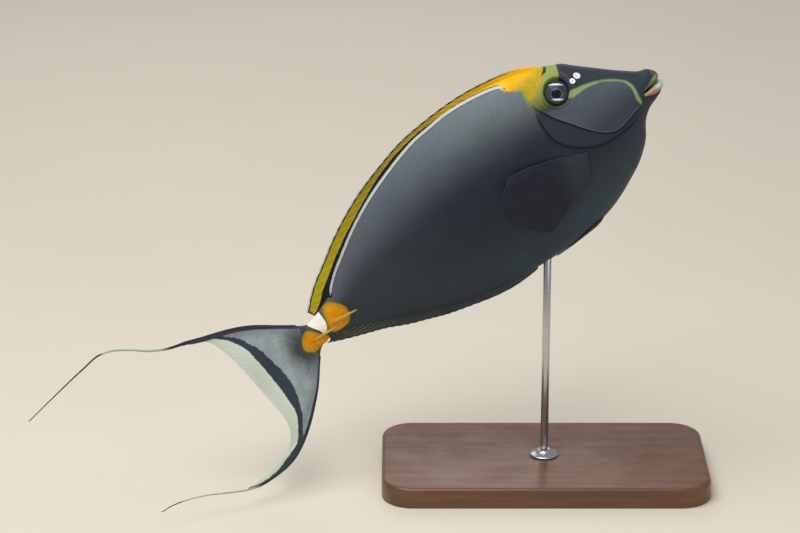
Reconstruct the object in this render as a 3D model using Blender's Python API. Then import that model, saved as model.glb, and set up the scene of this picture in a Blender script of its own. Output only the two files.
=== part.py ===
"""Elegant unicornfish (Naso elegans): a still, life-size display model on a plain stand.

Sizes are millimetres in the fish's own frame: x runs forward from the root of the tail fin,
y to the fish's left and z to its back. The frame is then pitched nose up and set on a rod.
The tail bends to the fish's right, so every piece behind BEND_START passes through bend().
"""

import math

import bmesh
import bpy
import numpy as np
from mathutils import Matrix, Vector

MM = 0.001
# Clearance between touching pieces, and how far a cutter reaches past the head and the flanks.
GAP = 0.3
FAR = 400.0
PAST_FLANK = 60.0

# Pose of the whole fish, and the arc that the tail bends through.
NOSE_UP = math.radians(37.05)
BEND_START = 30.0
BEND_LENGTH = 50.0
BEND_ANGLE = math.radians(32.0)
BEND_RADIUS = BEND_LENGTH / BEND_ANGLE

# Body, as (x, size) stations: back line, belly line, half width and level of the widest line.
BACK = [(-8, 16.4), (-3, 12), (1, 10), (6, 10.6), (12, 12.2), (28, 18), (52, 35.5), (92, 58.5),
        (137, 75.5), (180, 80.8), (218, 78), (235, 74.3), (250, 70), (262, 65), (270, 61),
        (275, 58), (279, 53.5), (293, 40), (307, 27.3), (316, 20), (323, 17), (326.3, 13.2)]
BELLY = [(-8, -16.4), (-3, -12), (1, -9.9), (10, -9.7), (34, -17), (64, -31), (99, -45.5),
         (130, -54), (165, -59), (206, -59.5), (240, -54.5), (262, -45.5), (283, -33),
         (292, -24.5), (299, -14.5), (307, -8), (316, -4.5), (322, -1.5), (326.3, 4)]
HALF_WIDTH = [(-8, 1.6), (-3, 2.6), (1, 4), (6, 5.2), (12, 6.1), (30, 8.4), (60, 13.2), (90, 18),
              (120, 21.6), (150, 24.3), (180, 26.2), (210, 27), (240, 26.2), (255, 24.8),
              (270, 22.2), (285, 18.4), (300, 14.2), (308, 11.9), (314, 9.8), (319, 7.6),
              (323, 5), (326.3, 1.2)]
WIDEST_LEVEL = [(-8, 0), (10, 1), (60, 3), (120, 9), (180, 12), (230, 14), (260, 17), (290, 12),
                (310, 9), (326.3, 8)]
# How sharp the section is above and below the widest line: 0.5 is an ellipse.
CROWN = [(-8, 0.6), (30, 0.62), (80, 0.75), (220, 0.75), (262, 0.56), (300, 0.5), (326.3, 0.5)]
KEEL = [(-8, 0.6), (30, 0.62), (80, 0.68), (220, 0.62), (262, 0.6), (290, 0.55), (326.3, 0.5)]

STALK_END = -7.0
STALK_START = 37.0
SNOUT = 326.3
BODY_SIDES = 32
STALK_STATIONS = np.linspace(STALK_END, STALK_START - GAP / 2, 10)
TORSO_STATIONS = np.linspace(STALK_START + GAP / 2, 306, 25)

# Edges on the head, as (x, z) seen from the side.
GILL_COVER = [(267, 78), (259.5, 66.5), (250, 58), (243, 49.5), (240, 41), (239, 30),
              (239.8, 22), (244, 13.7), (252, 5.5), (264, -1.4), (277, -5.2), (286, -8.6),
              (294, -14), (300, -26)]
CHEEK_EDGE = [(243.5, 41), (250.9, 29.6), (259.6, 16.6), (269, 4.6), (277, -1.2), (285, -3.4),
              (294, -3.2), (303, -1.2)]
CHEEK_INNER = [(300, 14), (286, 20), (272, 27), (262, 36), (256, 43)]
GILL_COVER_RISE = 0.9
CHEEK_RISE = 0.8
CHEEK_FADE = 15.0
CHEEK_SUNK = 0.12

EYE_AT = (261.2, 47.9)
EYE_RADIUS = 9.4
EYE_DEPTH = 5.6
EYE_PROUD = 3.2
ORBIT_RADIUS = 10.0
ORBIT_WIRE = 1.0
NOSTRILS = [((279.4, 47.1), 2.1), ((275.0, 46.6), 1.4)]
NOSTRIL_WIRE = 0.65

# Lips, each a half oval in plan: corner (x, z), front (x, z), half width, radius there and ahead.
UPPER_LIP = ((313.0, 8.5), (324.3, 9.8), 9.6, 0.8, 2.1)
LOWER_LIP = ((311.0, 4.9), (322.5, 2.3), 10.1, 1.0, 3.1)
MOUTH_CORNER = (310.6, 6.8)
MOUTH_OPEN = (4.4, 9.4)

# Folded fins on the mid line: where the base starts and ends, rays, and the outer edge.
DORSAL_BASE = (257.0, 12.0)
DORSAL_RAYS = 26
DORSAL_LEAN = [(12, 4.2), (20, 11), (30, 20), (60, 23), (100, 24), (200, 20), (240, 12),
               (257, 3)]
DORSAL_EDGE = [(4, 13.6), (12.4, 21.6), (29.7, 35.1), (53.7, 50), (77.8, 61.9), (102.6, 71.8),
               (122.7, 77.2), (145, 82.3), (163.9, 84.7), (181.5, 85.4), (200.6, 85),
               (218.3, 82.9), (234.6, 78.9), (245.9, 74.6), (258, 67.9), (262, 65.4)]
ANAL_BASE = (168.0, 10.0)
ANAL_RAYS = 20
ANAL_LEAN = [(10, 3.2), (18, 10), (28, 18), (60, 20), (100, 20), (150, 14), (168, 5)]
ANAL_EDGE = [(3, -11), (10.9, -15.7), (18.3, -19.1), (33.7, -25.3), (49.1, -31.5), (63.8, -38.6),
             (83, -46.3), (98.9, -51.7), (115.4, -56.2), (130.3, -59.6), (146.4, -62),
             (158, -62.6), (168, -60.6)]
FIN_ROOT_DEPTH = 3.0
# Half thickness of a fin's membrane and of its rays at the root.
MEMBRANE_HALF = 0.3
RAY_HALF = 0.75
PAIRED_RAY_HALF = 0.68

# Tail fin, as (distance behind the tail root, height): front edge and hind edge of each lobe.
UPPER_LEAD = [(7.3, 16), (19, 26.2), (34.6, 39.2), (44.7, 46), (55.6, 51.9), (71, 59.3),
              (81.4, 65.2)]
UPPER_TRAIL = [(60.5, 0.15), (61.3, 14), (60.3, 31), (62.6, 43), (68, 52.3), (75, 58.6),
               (82.6, 62.8), (81.4, 65.2)]
LOWER_LEAD = [(7.3, -16), (22.5, -31), (35, -40.1), (48.1, -48.7), (61.4, -55.3), (73.9, -58.9),
              (84, -59.9)]
LOWER_TRAIL = [(60.5, -0.15), (59.8, -12), (59.8, -27), (62.7, -41.2), (69.7, -50), (77, -54.8),
               (84, -57.1), (84, -59.9)]
LOBE_RAYS = 7
UPPER_STREAMER = [(82.3, 64.1), (93, 69.6), (106, 79.2), (117, 90), (128, 99), (138, 103.4),
                  (152, 104), (177, 104), (209, 103.3)]
LOWER_STREAMER = [(84.3, -58.5), (95, -58), (106, -56.4), (116, -51.8), (129, -42.8),
                  (142, -33), (155.5, -24.6), (169, -18.6), (178, -16.4)]
# Where each streamer is parted into its two lengths, as a share of its run.
UPPER_PART = 0.49
LOWER_PART = 0.38
STREAMER_ROOT = 1.4
STREAMER_TIP = 0.3

PECTORAL_AT = (246.0, -9.5)
PECTORAL_BASE = 20.0
PECTORAL_RAYS = 10
PECTORAL_LENGTH = 71.0
PECTORAL_RISE = math.radians(27.0)
PECTORAL_FAN = math.radians(47.0)
PECTORAL_SPREAD = math.radians(15.0)

PELVIC_BASE = 231.0
PELVIC_TIP = 184.0
PELVIC_RAYS = 4

# Hooked keels on the tail stalk: centre x and level of the plate, its half length and height,
# and how far the hook reaches out and forwards.
KEELS = {"front": (22.5, -2.0, 9.5, 5.6, 6.6, 19.0), "rear": (0.4, -5.0, 6.8, 4.4, 5.6, 14.6)}
KEEL_PLATE_HALF = 1.9
KEEL_THICK = 1.3

# Stand.
BASE_SIZE = (250.0, 130.0, 16.0)
BASE_CORNER = 24.0
BASE_ROUND = 3.0
ROD_AT = 176.0
ROD_RADIUS = 3.0
ROD_SUNK = 24.0
COLLAR_RADIUS = 11.0
COLLAR_HEIGHT = 4.5
TAIL_CLEARANCE = 12.0

SLATE = (0.055, 0.058, 0.068)
BLACK = (0.012, 0.012, 0.014)
ORANGE = (0.80, 0.26, 0.01)


def through(stations):
    """A smooth curve through (x, value) stations, read at any x."""
    xs, values = np.array(sorted(stations), float).T
    steps = np.diff(xs)
    slopes = np.diff(values) / steps
    inner = (slopes[:-1] * steps[1:] + slopes[1:] * steps[:-1]) / (steps[:-1] + steps[1:])
    tangents = np.concatenate([slopes[:1], inner, slopes[-1:]])

    def read(x):
        x = np.clip(np.asarray(x, float), xs[0], xs[-1])
        i = np.clip(np.searchsorted(xs, x, side="right") - 1, 0, len(steps) - 1)
        h = steps[i]
        u = (x - xs[i]) / h
        return (
            values[i] * (1 + 2 * u) * (1 - u) ** 2
            + h * tangents[i] * u * (1 - u) ** 2
            + values[i + 1] * u * u * (3 - 2 * u)
            + h * tangents[i + 1] * u * u * (u - 1)
        )

    return read


back, belly, half_width, widest = map(through, (BACK, BELLY, HALF_WIDTH, WIDEST_LEVEL))
crown, keel = through(CROWN), through(KEEL)


def route(points, count):
    """Points evenly spaced on a smooth curve through a few points."""
    points = np.array(points, float)
    knots = np.concatenate([[0], np.cumsum(np.linalg.norm(np.diff(points, axis=0), axis=1))])
    reads = [through(list(zip(knots, axis))) for axis in points.T]
    fine = np.linspace(0, knots[-1], 40 * len(points))
    dense = np.stack([read(fine) for read in reads], axis=1)
    along = np.concatenate([[0], np.cumsum(np.linalg.norm(np.diff(dense, axis=0), axis=1))])
    at = np.linspace(0, along[-1], count) if np.isscalar(count) else along[-1] * np.asarray(count)
    return np.stack([np.interp(at, along, axis) for axis in dense.T], axis=1)


def fade(value):
    """0 below 0, 1 above 1, and an S-shaped rise between."""
    value = np.clip(value, 0, 1)
    return value * value * (3 - 2 * value)


def bend(points):
    """Carries points of the straight fish to the fish whose tail bends to its right."""
    points = np.array(points, float)
    x, y, z = points[..., 0], points[..., 1], points[..., 2]
    run = np.maximum(BEND_START - x, 0)
    turn = np.minimum(run, BEND_LENGTH) / BEND_RADIUS
    past = np.maximum(run - BEND_LENGTH, 0)
    bent_x = BEND_START - BEND_RADIUS * np.sin(turn) - past * np.cos(turn) - y * np.sin(turn)
    bent_y = -BEND_RADIUS * (1 - np.cos(turn)) - past * np.sin(turn) + y * np.cos(turn)
    behind = x < BEND_START
    return np.stack([np.where(behind, bent_x, x), np.where(behind, bent_y, y), z], axis=-1)


def flank(x, z):
    """Half width of the body at x and level z."""
    top, bottom, level = back(x), belly(x), widest(x)
    share = np.where(z > level, (z - level) / (top - level), (level - z) / (level - bottom))
    power = np.where(z > level, crown(x), keel(x))
    return half_width(x) * np.maximum(1 - np.minimum(share, 1) ** 2, 0) ** power


def skin(x, angle, grow=0.0, rise=None):
    """Point of the body's surface at x, at an angle round the section from its left side."""
    x, angle = np.broadcast_arrays(np.asarray(x, float), np.asarray(angle, float))
    cos, sin = np.cos(angle), np.sin(angle)
    level = widest(x)
    z = level + sin * np.where(sin > 0, back(x) + grow - level, level - belly(x) + grow)
    power = 2 * np.where(sin > 0, crown(x), keel(x))
    y = (half_width(x) + grow) * np.abs(cos) ** power
    if rise is not None:
        y = y + rise(x, z) * np.abs(cos)
    return np.stack([x, np.sign(cos) * y, z], axis=-1)


def gill_cover_rise(x, z):
    """The gill covers stand a little proud of the flanks, most at their hind edge."""
    return GILL_COVER_RISE * fade((305 - x) / 45) * fade((z + 12) / 12) * fade((60 - z) / 18)


def cheek_rise(x, z):
    """The cheek stands proud of the gill cover at its own edge and dives under it further in."""
    edge = route(CHEEK_EDGE, 60)
    offsets = np.stack([x, z], axis=-1)[..., None, :] - edge
    away = np.linalg.norm(offsets, axis=-1)
    ends = np.sin(np.pi * (0.04 + 0.92 * away.argmin(axis=-1) / (len(edge) - 1)))
    lift = CHEEK_RISE * (1 - 2.4 * fade(away.min(axis=-1) / CHEEK_FADE)) * ends ** 0.5
    return gill_cover_rise(x, z) + lift - CHEEK_SUNK


def finish(name, colour, roughness=0.5, metallic=0.0):
    material = bpy.data.materials.new(name)
    material.use_nodes = True
    shader = material.node_tree.nodes["Principled BSDF"]
    shader.inputs["Base Color"].default_value = (*colour, 1)
    shader.inputs["Roughness"].default_value = roughness
    shader.inputs["Metallic"].default_value = metallic
    material.diffuse_color = (*colour, 1)
    return material


def add_object(name, mesh, material=None, parent=None):
    """A part, or a cutter where there is no material."""
    made = bpy.data.objects.new(name, mesh)
    made.parent = parent
    if material:
        mesh.materials.clear()
        mesh.materials.append(material)
        parts.objects.link(made)
    else:
        made.hide_render = True
        made.display_type = "WIRE"
        cutters.objects.link(made)
    return made


def mesh_from(name, points, faces):
    """A mesh from points in millimetres, with its faces turned outwards."""
    mesh = bpy.data.meshes.new(name)
    mesh.from_pydata((np.asarray(points) * MM).tolist(), [], faces)
    tidy = bmesh.new()
    tidy.from_mesh(mesh)
    bmesh.ops.recalc_face_normals(tidy, faces=tidy.faces)
    tidy.to_mesh(mesh)
    tidy.free()
    return mesh


def loft(name, rings):
    """A closed mesh through rings of equal count, with a flat face at each end."""
    count, sides = rings.shape[:2]
    faces = [
        (i * sides + j, i * sides + (j + 1) % sides, (i + 1) * sides + (j + 1) % sides,
         (i + 1) * sides + j)
        for i in range(count - 1)
        for j in range(sides)
    ]
    faces += [tuple(range(sides)), tuple(range((count - 1) * sides, count * sides))]
    return mesh_from(name, rings.reshape(-1, 3), faces)


def body_loft(name, xs, sides, grow=0.0, rise=None):
    angles = (np.arange(sides) + 0.5) * 2 * np.pi / sides
    rings = skin(np.asarray(xs)[:, None], angles[None, :], grow, rise)
    return loft(name, bend(rings))


def prism(name, outline):
    """A plate with a side-view outline that reaches past both flanks."""
    outline = np.asarray(outline)
    rings = np.stack([
        np.stack([outline[:, 0], np.full(len(outline), y), outline[:, 1]], axis=1)
        for y in (-PAST_FLANK, PAST_FLANK)
    ])
    return loft(name, rings)


def shifted(line, distance):
    """A line moved sideways by a distance, to the left of its run."""
    along = np.gradient(line, axis=0)
    along /= np.linalg.norm(along, axis=1, keepdims=True)
    return line + distance * np.stack([-along[:, 1], along[:, 0]], axis=1)


def tube(name, points, radii, sides, closed=False):
    """A round bar along points, as a closed mesh."""
    curve = bpy.data.curves.new(name, "CURVE")
    curve.dimensions = "3D"
    curve.bevel_depth = MM
    curve.bevel_resolution = max(sides // 2 - 2, 0)
    curve.use_fill_caps = True
    spline = curve.splines.new("POLY")
    spline.points.add(len(points) - 1)
    for point, place, radius in zip(spline.points, points, np.broadcast_to(radii, len(points))):
        point.co = (*(np.asarray(place) * MM), 1)
        point.radius = radius
    spline.use_cyclic_u = closed
    bar = bpy.data.objects.new(name, curve)
    bpy.context.scene.collection.objects.link(bar)
    graph = bpy.context.evaluated_depsgraph_get()
    mesh = bpy.data.meshes.new_from_object(bar.evaluated_get(graph))
    bpy.data.objects.remove(bar)
    bpy.data.curves.remove(curve)
    weld = bmesh.new()
    weld.from_mesh(mesh)
    bmesh.ops.remove_doubles(weld, verts=weld.verts, dist=0.001 * MM)
    bmesh.ops.recalc_face_normals(weld, faces=weld.faces)
    weld.to_mesh(mesh)
    weld.free()
    mesh.name = name
    return mesh


def vane(name, middle, half):
    """A thin closed sheet round a grid of middle points, split alike on both faces."""
    along, across = np.gradient(middle, axis=0), np.gradient(middle, axis=1)
    normals = np.cross(along, across)
    normals /= np.linalg.norm(normals, axis=-1, keepdims=True)
    offset = normals * half[..., None]
    points = np.concatenate([(middle + offset).reshape(-1, 3), (middle - offset).reshape(-1, 3)])
    columns, rows = half.shape
    size = columns * rows

    def at(i, j):
        return i * rows + j

    faces = []
    for i in range(columns - 1):
        for j in range(rows - 1):
            a, b, c, d = at(i, j), at(i + 1, j), at(i + 1, j + 1), at(i, j + 1)
            for one, two, three in ((a, b, c), (a, c, d)):
                faces.append((one, two, three))
                faces.append((size + one, size + three, size + two))
    border = [at(i, 0) for i in range(columns)]
    border += [at(columns - 1, j) for j in range(1, rows)]
    border += [at(i, rows - 1) for i in range(columns - 2, -1, -1)]
    border += [at(0, j) for j in range(rows - 2, 0, -1)]
    for one, two in zip(border, border[1:] + border[:1]):
        faces.append((one, size + two, two))
        faces.append((one, size + one, size + two))
    return mesh_from(name, bend(points), faces)


def ray_places(rays):
    """Where a fin's columns lie across it: three to a ray, close together, and one at each edge."""
    pitch = 1 / rays
    middles = (np.arange(rays) + 0.5) * pitch
    places = (middles[:, None] + np.array([-0.2, 0, 0.2]) * pitch).reshape(-1)
    return np.concatenate([[0], places, [1]])


def ray_ridges(rays, out, ray_half):
    """Half thickness of a membrane with a ridge along each ray, lower towards the edge."""
    is_ray = np.zeros(3 * rays + 2)
    is_ray[2::3] = 1
    return MEMBRANE_HALF + (ray_half - MEMBRANE_HALF) * is_ray[:, None] * (1 - 0.45 * out)


def boolean(target, tool, operation="DIFFERENCE", solver="EXACT"):
    modifier = target.modifiers.new(tool.name, "BOOLEAN")
    modifier.operation = operation
    modifier.solver = solver
    if isinstance(tool, bpy.types.Collection):
        modifier.operand_type = "COLLECTION"
        modifier.collection = tool
    else:
        modifier.object = tool


def settle(target):
    """Applies the modifiers and keeps the largest closed surface."""
    bpy.context.view_layer.update()
    graph = bpy.context.evaluated_depsgraph_get()
    mesh = bpy.data.meshes.new_from_object(target.evaluated_get(graph))
    target.modifiers.clear()
    target.data = mesh
    work = bmesh.new()
    work.from_mesh(mesh)
    bmesh.ops.dissolve_degenerate(work, dist=0.0005 * MM, edges=work.edges)
    left = set(work.verts)
    largest = set()
    while left:
        island, front = set(), [left.pop()]
        while front:
            vertex = front.pop()
            island.add(vertex)
            for edge in vertex.link_edges:
                other = edge.other_vert(vertex)
                if other in left:
                    left.remove(other)
                    front.append(other)
        if len(island) > len(largest):
            largest = island
    bmesh.ops.delete(work, geom=[v for v in work.verts if v not in largest], context="VERTS")
    work.to_mesh(mesh)
    work.free()
    return target


def fuse(target, pieces):
    """Joins closed pieces to the target by one union and removes them."""
    joined = bpy.data.collections.new(target.name + "_pieces")
    bpy.context.scene.collection.children.link(joined)
    for piece in pieces:
        for owner in piece.users_collection:
            owner.objects.unlink(piece)
        joined.objects.link(piece)
    boolean(target, joined, "UNION")
    settle(target)
    for piece in pieces:
        bpy.data.objects.remove(piece)
    bpy.data.collections.remove(joined)
    return target


def smooth(target, angle=40.0):
    target.data.shade_smooth()
    target.data.set_sharp_from_angle(angle=math.radians(angle))
    return target


def flesh_cutter():
    """The whole body grown by the gap, which trims the root of every fin."""
    xs = np.concatenate([STALK_STATIONS, TORSO_STATIONS])
    return add_object("body_grown", body_loft("body_grown", xs, BODY_SIDES, GAP), parent=fish)


def gill_cover_prism(name, distance):
    line = shifted(route(GILL_COVER, 40), distance)
    front = [(FAR, -FAR / 2), (FAR, FAR / 2), (line[0][0], FAR / 2)]
    bottom = [(line[-1][0], -FAR / 2)]
    return add_object(name, prism(name, np.concatenate([line, bottom, front])), parent=fish)


def rod_socket():
    """The hole in the belly that takes the rod's top."""
    bpy.ops.mesh.primitive_cylinder_add(
        vertices=20,
        radius=(ROD_RADIUS + GAP) * MM,
        depth=(rod_top - BASE_SIZE[2]) * MM,
        location=(0, 0, (rod_top + BASE_SIZE[2] + 2 * GAP) / 2 * MM),
    )
    made = bpy.context.object
    mesh = made.data
    place = made.matrix_world.copy()
    bpy.data.objects.remove(made)
    socket = add_object("rod_socket", mesh)
    socket.matrix_world = place
    return socket


def make_torso():
    mesh = body_loft("torso", TORSO_STATIONS, BODY_SIDES)
    torso = add_object("torso", mesh, finish("torso_slate", SLATE), fish)
    boolean(torso, gill_cover_prism("gill_cover_front", -GAP / 2))
    boolean(torso, rod_socket())
    return smooth(settle(torso))


def make_tail_stalk():
    stalk = body_loft("tail_stalk", STALK_STATIONS, BODY_SIDES)
    return smooth(add_object("tail_stalk", stalk, finish("stalk_pale", (0.6, 0.55, 0.52)), fish))


def ring_on_flank(name, at, radius, wire, side, steps, sides, out=0.0):
    """A round bar in a ring that follows the flank about a side-view point."""
    turn = np.linspace(0, 2 * np.pi, steps, endpoint=False)
    x = at[0] + radius * np.cos(turn)
    z = at[1] + radius * np.sin(turn)
    y = side * (flank(x, z) + out)
    return add_object(name, tube(name, np.stack([x, y, z], 1), wire, sides, True), parent=fish)


def ball(name, radii, segments, rings):
    """An ellipsoid whose poles lie on its y axis."""
    mesh = bpy.data.meshes.new(name)
    work = bmesh.new()
    bmesh.ops.create_uvsphere(work, u_segments=segments, v_segments=rings, radius=1.0)
    turn = Matrix.Rotation(math.pi / 2, 4, "X")
    bmesh.ops.transform(work, matrix=turn, verts=work.verts)
    bmesh.ops.scale(work, vec=Vector(radii) * MM, verts=work.verts)
    work.to_mesh(mesh)
    work.free()
    return mesh


def outward(x, z, side):
    """Direction that the flank faces at a side-view point."""
    step = 0.5
    dx = (flank(x + step, z) - flank(x - step, z)) / (2 * step)
    dz = (flank(x, z + step) - flank(x, z - step)) / (2 * step)
    return Vector((-float(dx), side, -float(dz))).normalized()


def set_on_flank(target, at, side, out):
    """Places an object on the flank with its y axis along the surface's own direction."""
    facing = outward(*at, side)
    y = side * float(flank(*at))
    target.location = (Vector((at[0], y, at[1])) + facing * out) * MM
    target.rotation_euler = Vector((0, side, 0)).rotation_difference(facing).to_euler()


def make_eye(label, side):
    eye = add_object(
        "eye_" + label,
        ball("eye_" + label, (EYE_RADIUS, EYE_DEPTH, EYE_RADIUS), 20, 10),
        finish("eye_black_" + label, BLACK, 0.08),
        fish,
    )
    set_on_flank(eye, EYE_AT, side, EYE_PROUD - EYE_DEPTH)
    return smooth(eye)


def eye_socket(label, side):
    name = "eye_socket_" + label
    grown = (EYE_RADIUS + GAP, EYE_DEPTH + GAP, EYE_RADIUS + GAP)
    socket = add_object(name, ball(name, grown, 20, 10), parent=fish)
    set_on_flank(socket, EYE_AT, side, EYE_PROUD - EYE_DEPTH)
    return socket


def lip_mesh(name, lip, grow=0.0):
    """A half oval bar round the snout, thinner at the corners of the mouth."""
    corner, front, half, thin, thick = lip
    turn = np.radians(np.linspace(-90, 90, 15))
    ahead = np.cos(turn)
    x = corner[0] + (front[0] - corner[0]) * ahead
    z = corner[1] + (front[1] - corner[1]) * ahead
    y = half * np.sin(turn)
    radii = thin + (thick - thin) * fade(ahead / 0.75) + grow
    return tube(name, np.stack([x, y, z], axis=1), radii, 8)


def make_lip(name, lip, colour):
    return smooth(add_object(name, lip_mesh(name, lip), finish(name + "_orange", colour), fish))


def make_cheeks():
    """The part of the head in front of the preopercle's edge, as one piece through the head."""
    edge = route(CHEEK_EDGE, 24)
    xs = np.linspace(240, 312, 18)
    cheeks = add_object("cheeks", body_loft("cheeks", xs, 34, 0, cheek_rise), parent=fish)
    outline = prism("cheek_outline", np.concatenate([edge, CHEEK_INNER]))
    boolean(cheeks, add_object("cheek_outline", outline, parent=fish), "INTERSECT")
    return settle(cheeks)


def mouth_slit():
    front = SNOUT + 6
    outline = [MOUTH_CORNER, (front, MOUTH_OPEN[0]), (front, MOUTH_OPEN[1])]
    return add_object("mouth_slit", prism("mouth_slit", outline), parent=fish)


def make_head():
    xs = np.concatenate([np.linspace(233, 300, 14), np.linspace(304, 321, 5),
                         [323.4, 325.2, SNOUT]])
    mesh = body_loft("head", xs, BODY_SIDES, 0, gill_cover_rise)
    head = add_object("head", mesh, finish("head_mask", (0.02, 0.02, 0.024)), fish)
    boolean(head, gill_cover_prism("gill_cover_back", GAP / 2), "INTERSECT")
    settle(head)
    raised = [make_cheeks()]
    for label, side in SIDES:
        raised.append(ring_on_flank("orbit_" + label, EYE_AT, ORBIT_RADIUS, ORBIT_WIRE, side, 24, 6))
        for n, (at, radius) in enumerate(NOSTRILS):
            name = f"nostril_{n}_{label}"
            raised.append(ring_on_flank(name, at, radius, NOSTRIL_WIRE, side, 10, 6, 0.1))
    fuse(head, raised)
    for label, side in SIDES:
        boolean(head, eye_socket(label, side))
        for n, (at, radius) in enumerate(NOSTRILS):
            name = f"nostril_pit_{n}_{label}"
            pit = add_object(name, ball(name, (radius * 0.7, 2.5, radius * 0.7), 8, 5), parent=fish)
            set_on_flank(pit, at, side, 0.3)
            boolean(head, pit)
    boolean(head, mouth_slit())
    for name, lip in (("upper_lip", UPPER_LIP), ("lower_lip", LOWER_LIP)):
        groove = name + "_groove"
        boolean(head, add_object(groove, lip_mesh(groove, lip, GAP), parent=fish))
    return smooth(settle(head), 35)


def make_folded_fin(name, base, rays, lean, edge, root_line, sign, material):
    """A long fin on the mid line, folded back, with a ridge for each ray."""
    lean, edge = through(lean), through(edge)
    root_x = base[0] + (base[1] - base[0]) * ray_places(rays)
    tip_x = root_x - lean(root_x)
    root_z = root_line(root_x) - sign * FIN_ROOT_DEPTH
    tip_z = edge(tip_x)
    out = np.linspace(0, 1, 4)[None, :]
    bow = 0.9 * sign * np.sin(np.pi * out)
    x = root_x[:, None] + (tip_x - root_x)[:, None] * out
    z = root_z[:, None] + (tip_z - root_z)[:, None] * out + bow
    middle = np.stack([x, np.zeros_like(x), z], axis=-1)
    half = ray_ridges(rays, out, RAY_HALF) + 0.4 * (1 - out) ** 2
    fin = add_object(name, vane(name, middle, half), material, fish)
    boolean(fin, body_grown)
    return smooth(settle(fin))


def make_lobe(name, lead, trail, material):
    """One lobe of the tail fin: a patch between the root, the mid line and its two edges."""
    across = ray_places(LOBE_RAYS)
    out = np.linspace(0, 1, 9) ** 0.85
    root_a = lead[0][0]
    front = route(lead, out)
    hind = route(trail, across)
    middle_line = np.stack([root_a + (trail[0][0] - root_a) * out, 0 * out + trail[0][1]], 1)
    root_b = trail[0][1] + (lead[0][1] - trail[0][1]) * across
    root = np.stack([0 * root_b + root_a, root_b], 1)
    u, v = out[None, :, None], across[:, None, None]
    patch = (
        (1 - v) * middle_line[None] + v * front[None] + (1 - u) * root[:, None] + u * hind[:, None]
        - (1 - u) * ((1 - v) * root[0] + v * root[-1]) - u * ((1 - v) * hind[0] + v * hind[-1])
    )
    middle = np.stack([-patch[..., 0], np.zeros(patch.shape[:2]), patch[..., 1]], axis=-1)
    stem = flank(STALK_END, np.abs(root[:, 1]))[:, None] * (1 - u[..., 0]) ** 4
    spar = 0.55 * fade((across - 0.55) / 0.4)[:, None]
    half = ray_ridges(LOBE_RAYS, out[None, :], RAY_HALF) + 0.95 * stem + spar
    half[-1] *= 0.45
    return smooth(add_object(name, vane(name, middle, half), material, fish))


def make_streamer(name, points, parted, material):
    """The long thread at a lobe's tip, in two lengths that meet end to end."""
    run = np.linalg.norm(np.diff(points, axis=0), axis=1).sum()
    half_gap = GAP / 2 / run
    for length, start, end in (("root", 0, parted - half_gap), ("tip", parted + half_gap, 1)):
        along = np.linspace(start, end, 14)
        flat = route(points, along)
        places = bend(np.stack([-flat[:, 0], np.zeros(len(flat)), flat[:, 1]], axis=1))
        radii = STREAMER_TIP + (STREAMER_ROOT - STREAMER_TIP) * (1 - along) ** 1.3
        piece = name + "_" + length
        smooth(add_object(piece, tube(piece, places, radii, 6), material, fish))


def make_pectoral(label, side, material):
    """A fan of rays behind the gill cover, swept back, up and a little off the flank."""
    down = ray_places(PECTORAL_RAYS)[:, None]
    out = np.linspace(0, 1, 5)[None, :] ** 0.8
    length = PECTORAL_LENGTH * (1 - 0.26 * down ** 1.3) * (0.84 + 0.16 * fade(down / 0.22))
    length = length * (1 - 0.08 * fade((down - 0.82) / 0.18))
    heading = PECTORAL_RISE - PECTORAL_FAN * down - math.radians(7) * (1 - down) * out ** 2
    reach = length * out - FIN_ROOT_DEPTH * (1 - out)
    sweep = PECTORAL_SPREAD * (0.6 + 0.4 * np.cos(np.pi * (down - 0.4)))
    root_x = PECTORAL_AT[0] + PECTORAL_BASE * 0.45 * (0.5 - down)
    root_z = PECTORAL_AT[1] + PECTORAL_BASE * (0.5 - down)
    x = root_x - reach * np.cos(heading) * np.cos(sweep)
    z = root_z + reach * np.sin(heading)
    y = flank(root_x, root_z) - 1.2 + (reach + FIN_ROOT_DEPTH) * np.sin(sweep) - 2.5 * out ** 2
    middle = np.stack([x, side * y, z], axis=-1)
    half = ray_ridges(PECTORAL_RAYS, out, PAIRED_RAY_HALF) + 0.6 * (1 - out) ** 3
    name = "pectoral_fin_" + label
    fin = add_object(name, vane(name, middle, half), material, fish)
    boolean(fin, body_grown)
    return smooth(settle(fin))


def make_pelvic(label, side, material):
    """A narrow fin folded back along the belly beside the mid line."""
    across = ray_places(PELVIC_RAYS)[:, None]
    out = np.linspace(0, 1, 7)[None, :]
    x = PELVIC_BASE + 4 * across - (PELVIC_BASE - PELVIC_TIP) * out * (1 - 0.28 * across)
    spread = math.radians(4) + math.radians(11) * across * (0.45 + 0.55 * np.sin(np.pi * out ** 0.8))
    angle = -np.pi / 2 + spread
    clear = -2.0 + 3.4 * fade(out / 0.22) + 0.7 * out
    base = skin(x, angle)
    grown = skin(x, angle, 1.0)
    outwards = grown - base
    outwards /= np.linalg.norm(outwards, axis=-1, keepdims=True)
    middle = base + outwards * clear[..., None]
    middle[..., 1] *= side
    half = ray_ridges(PELVIC_RAYS, out, PAIRED_RAY_HALF) + 0.35 * (1 - out) ** 3
    name = "pelvic_fin_" + label
    fin = add_object(name, vane(name, middle, half), material, fish)
    boolean(fin, body_grown)
    return smooth(settle(fin))


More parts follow.
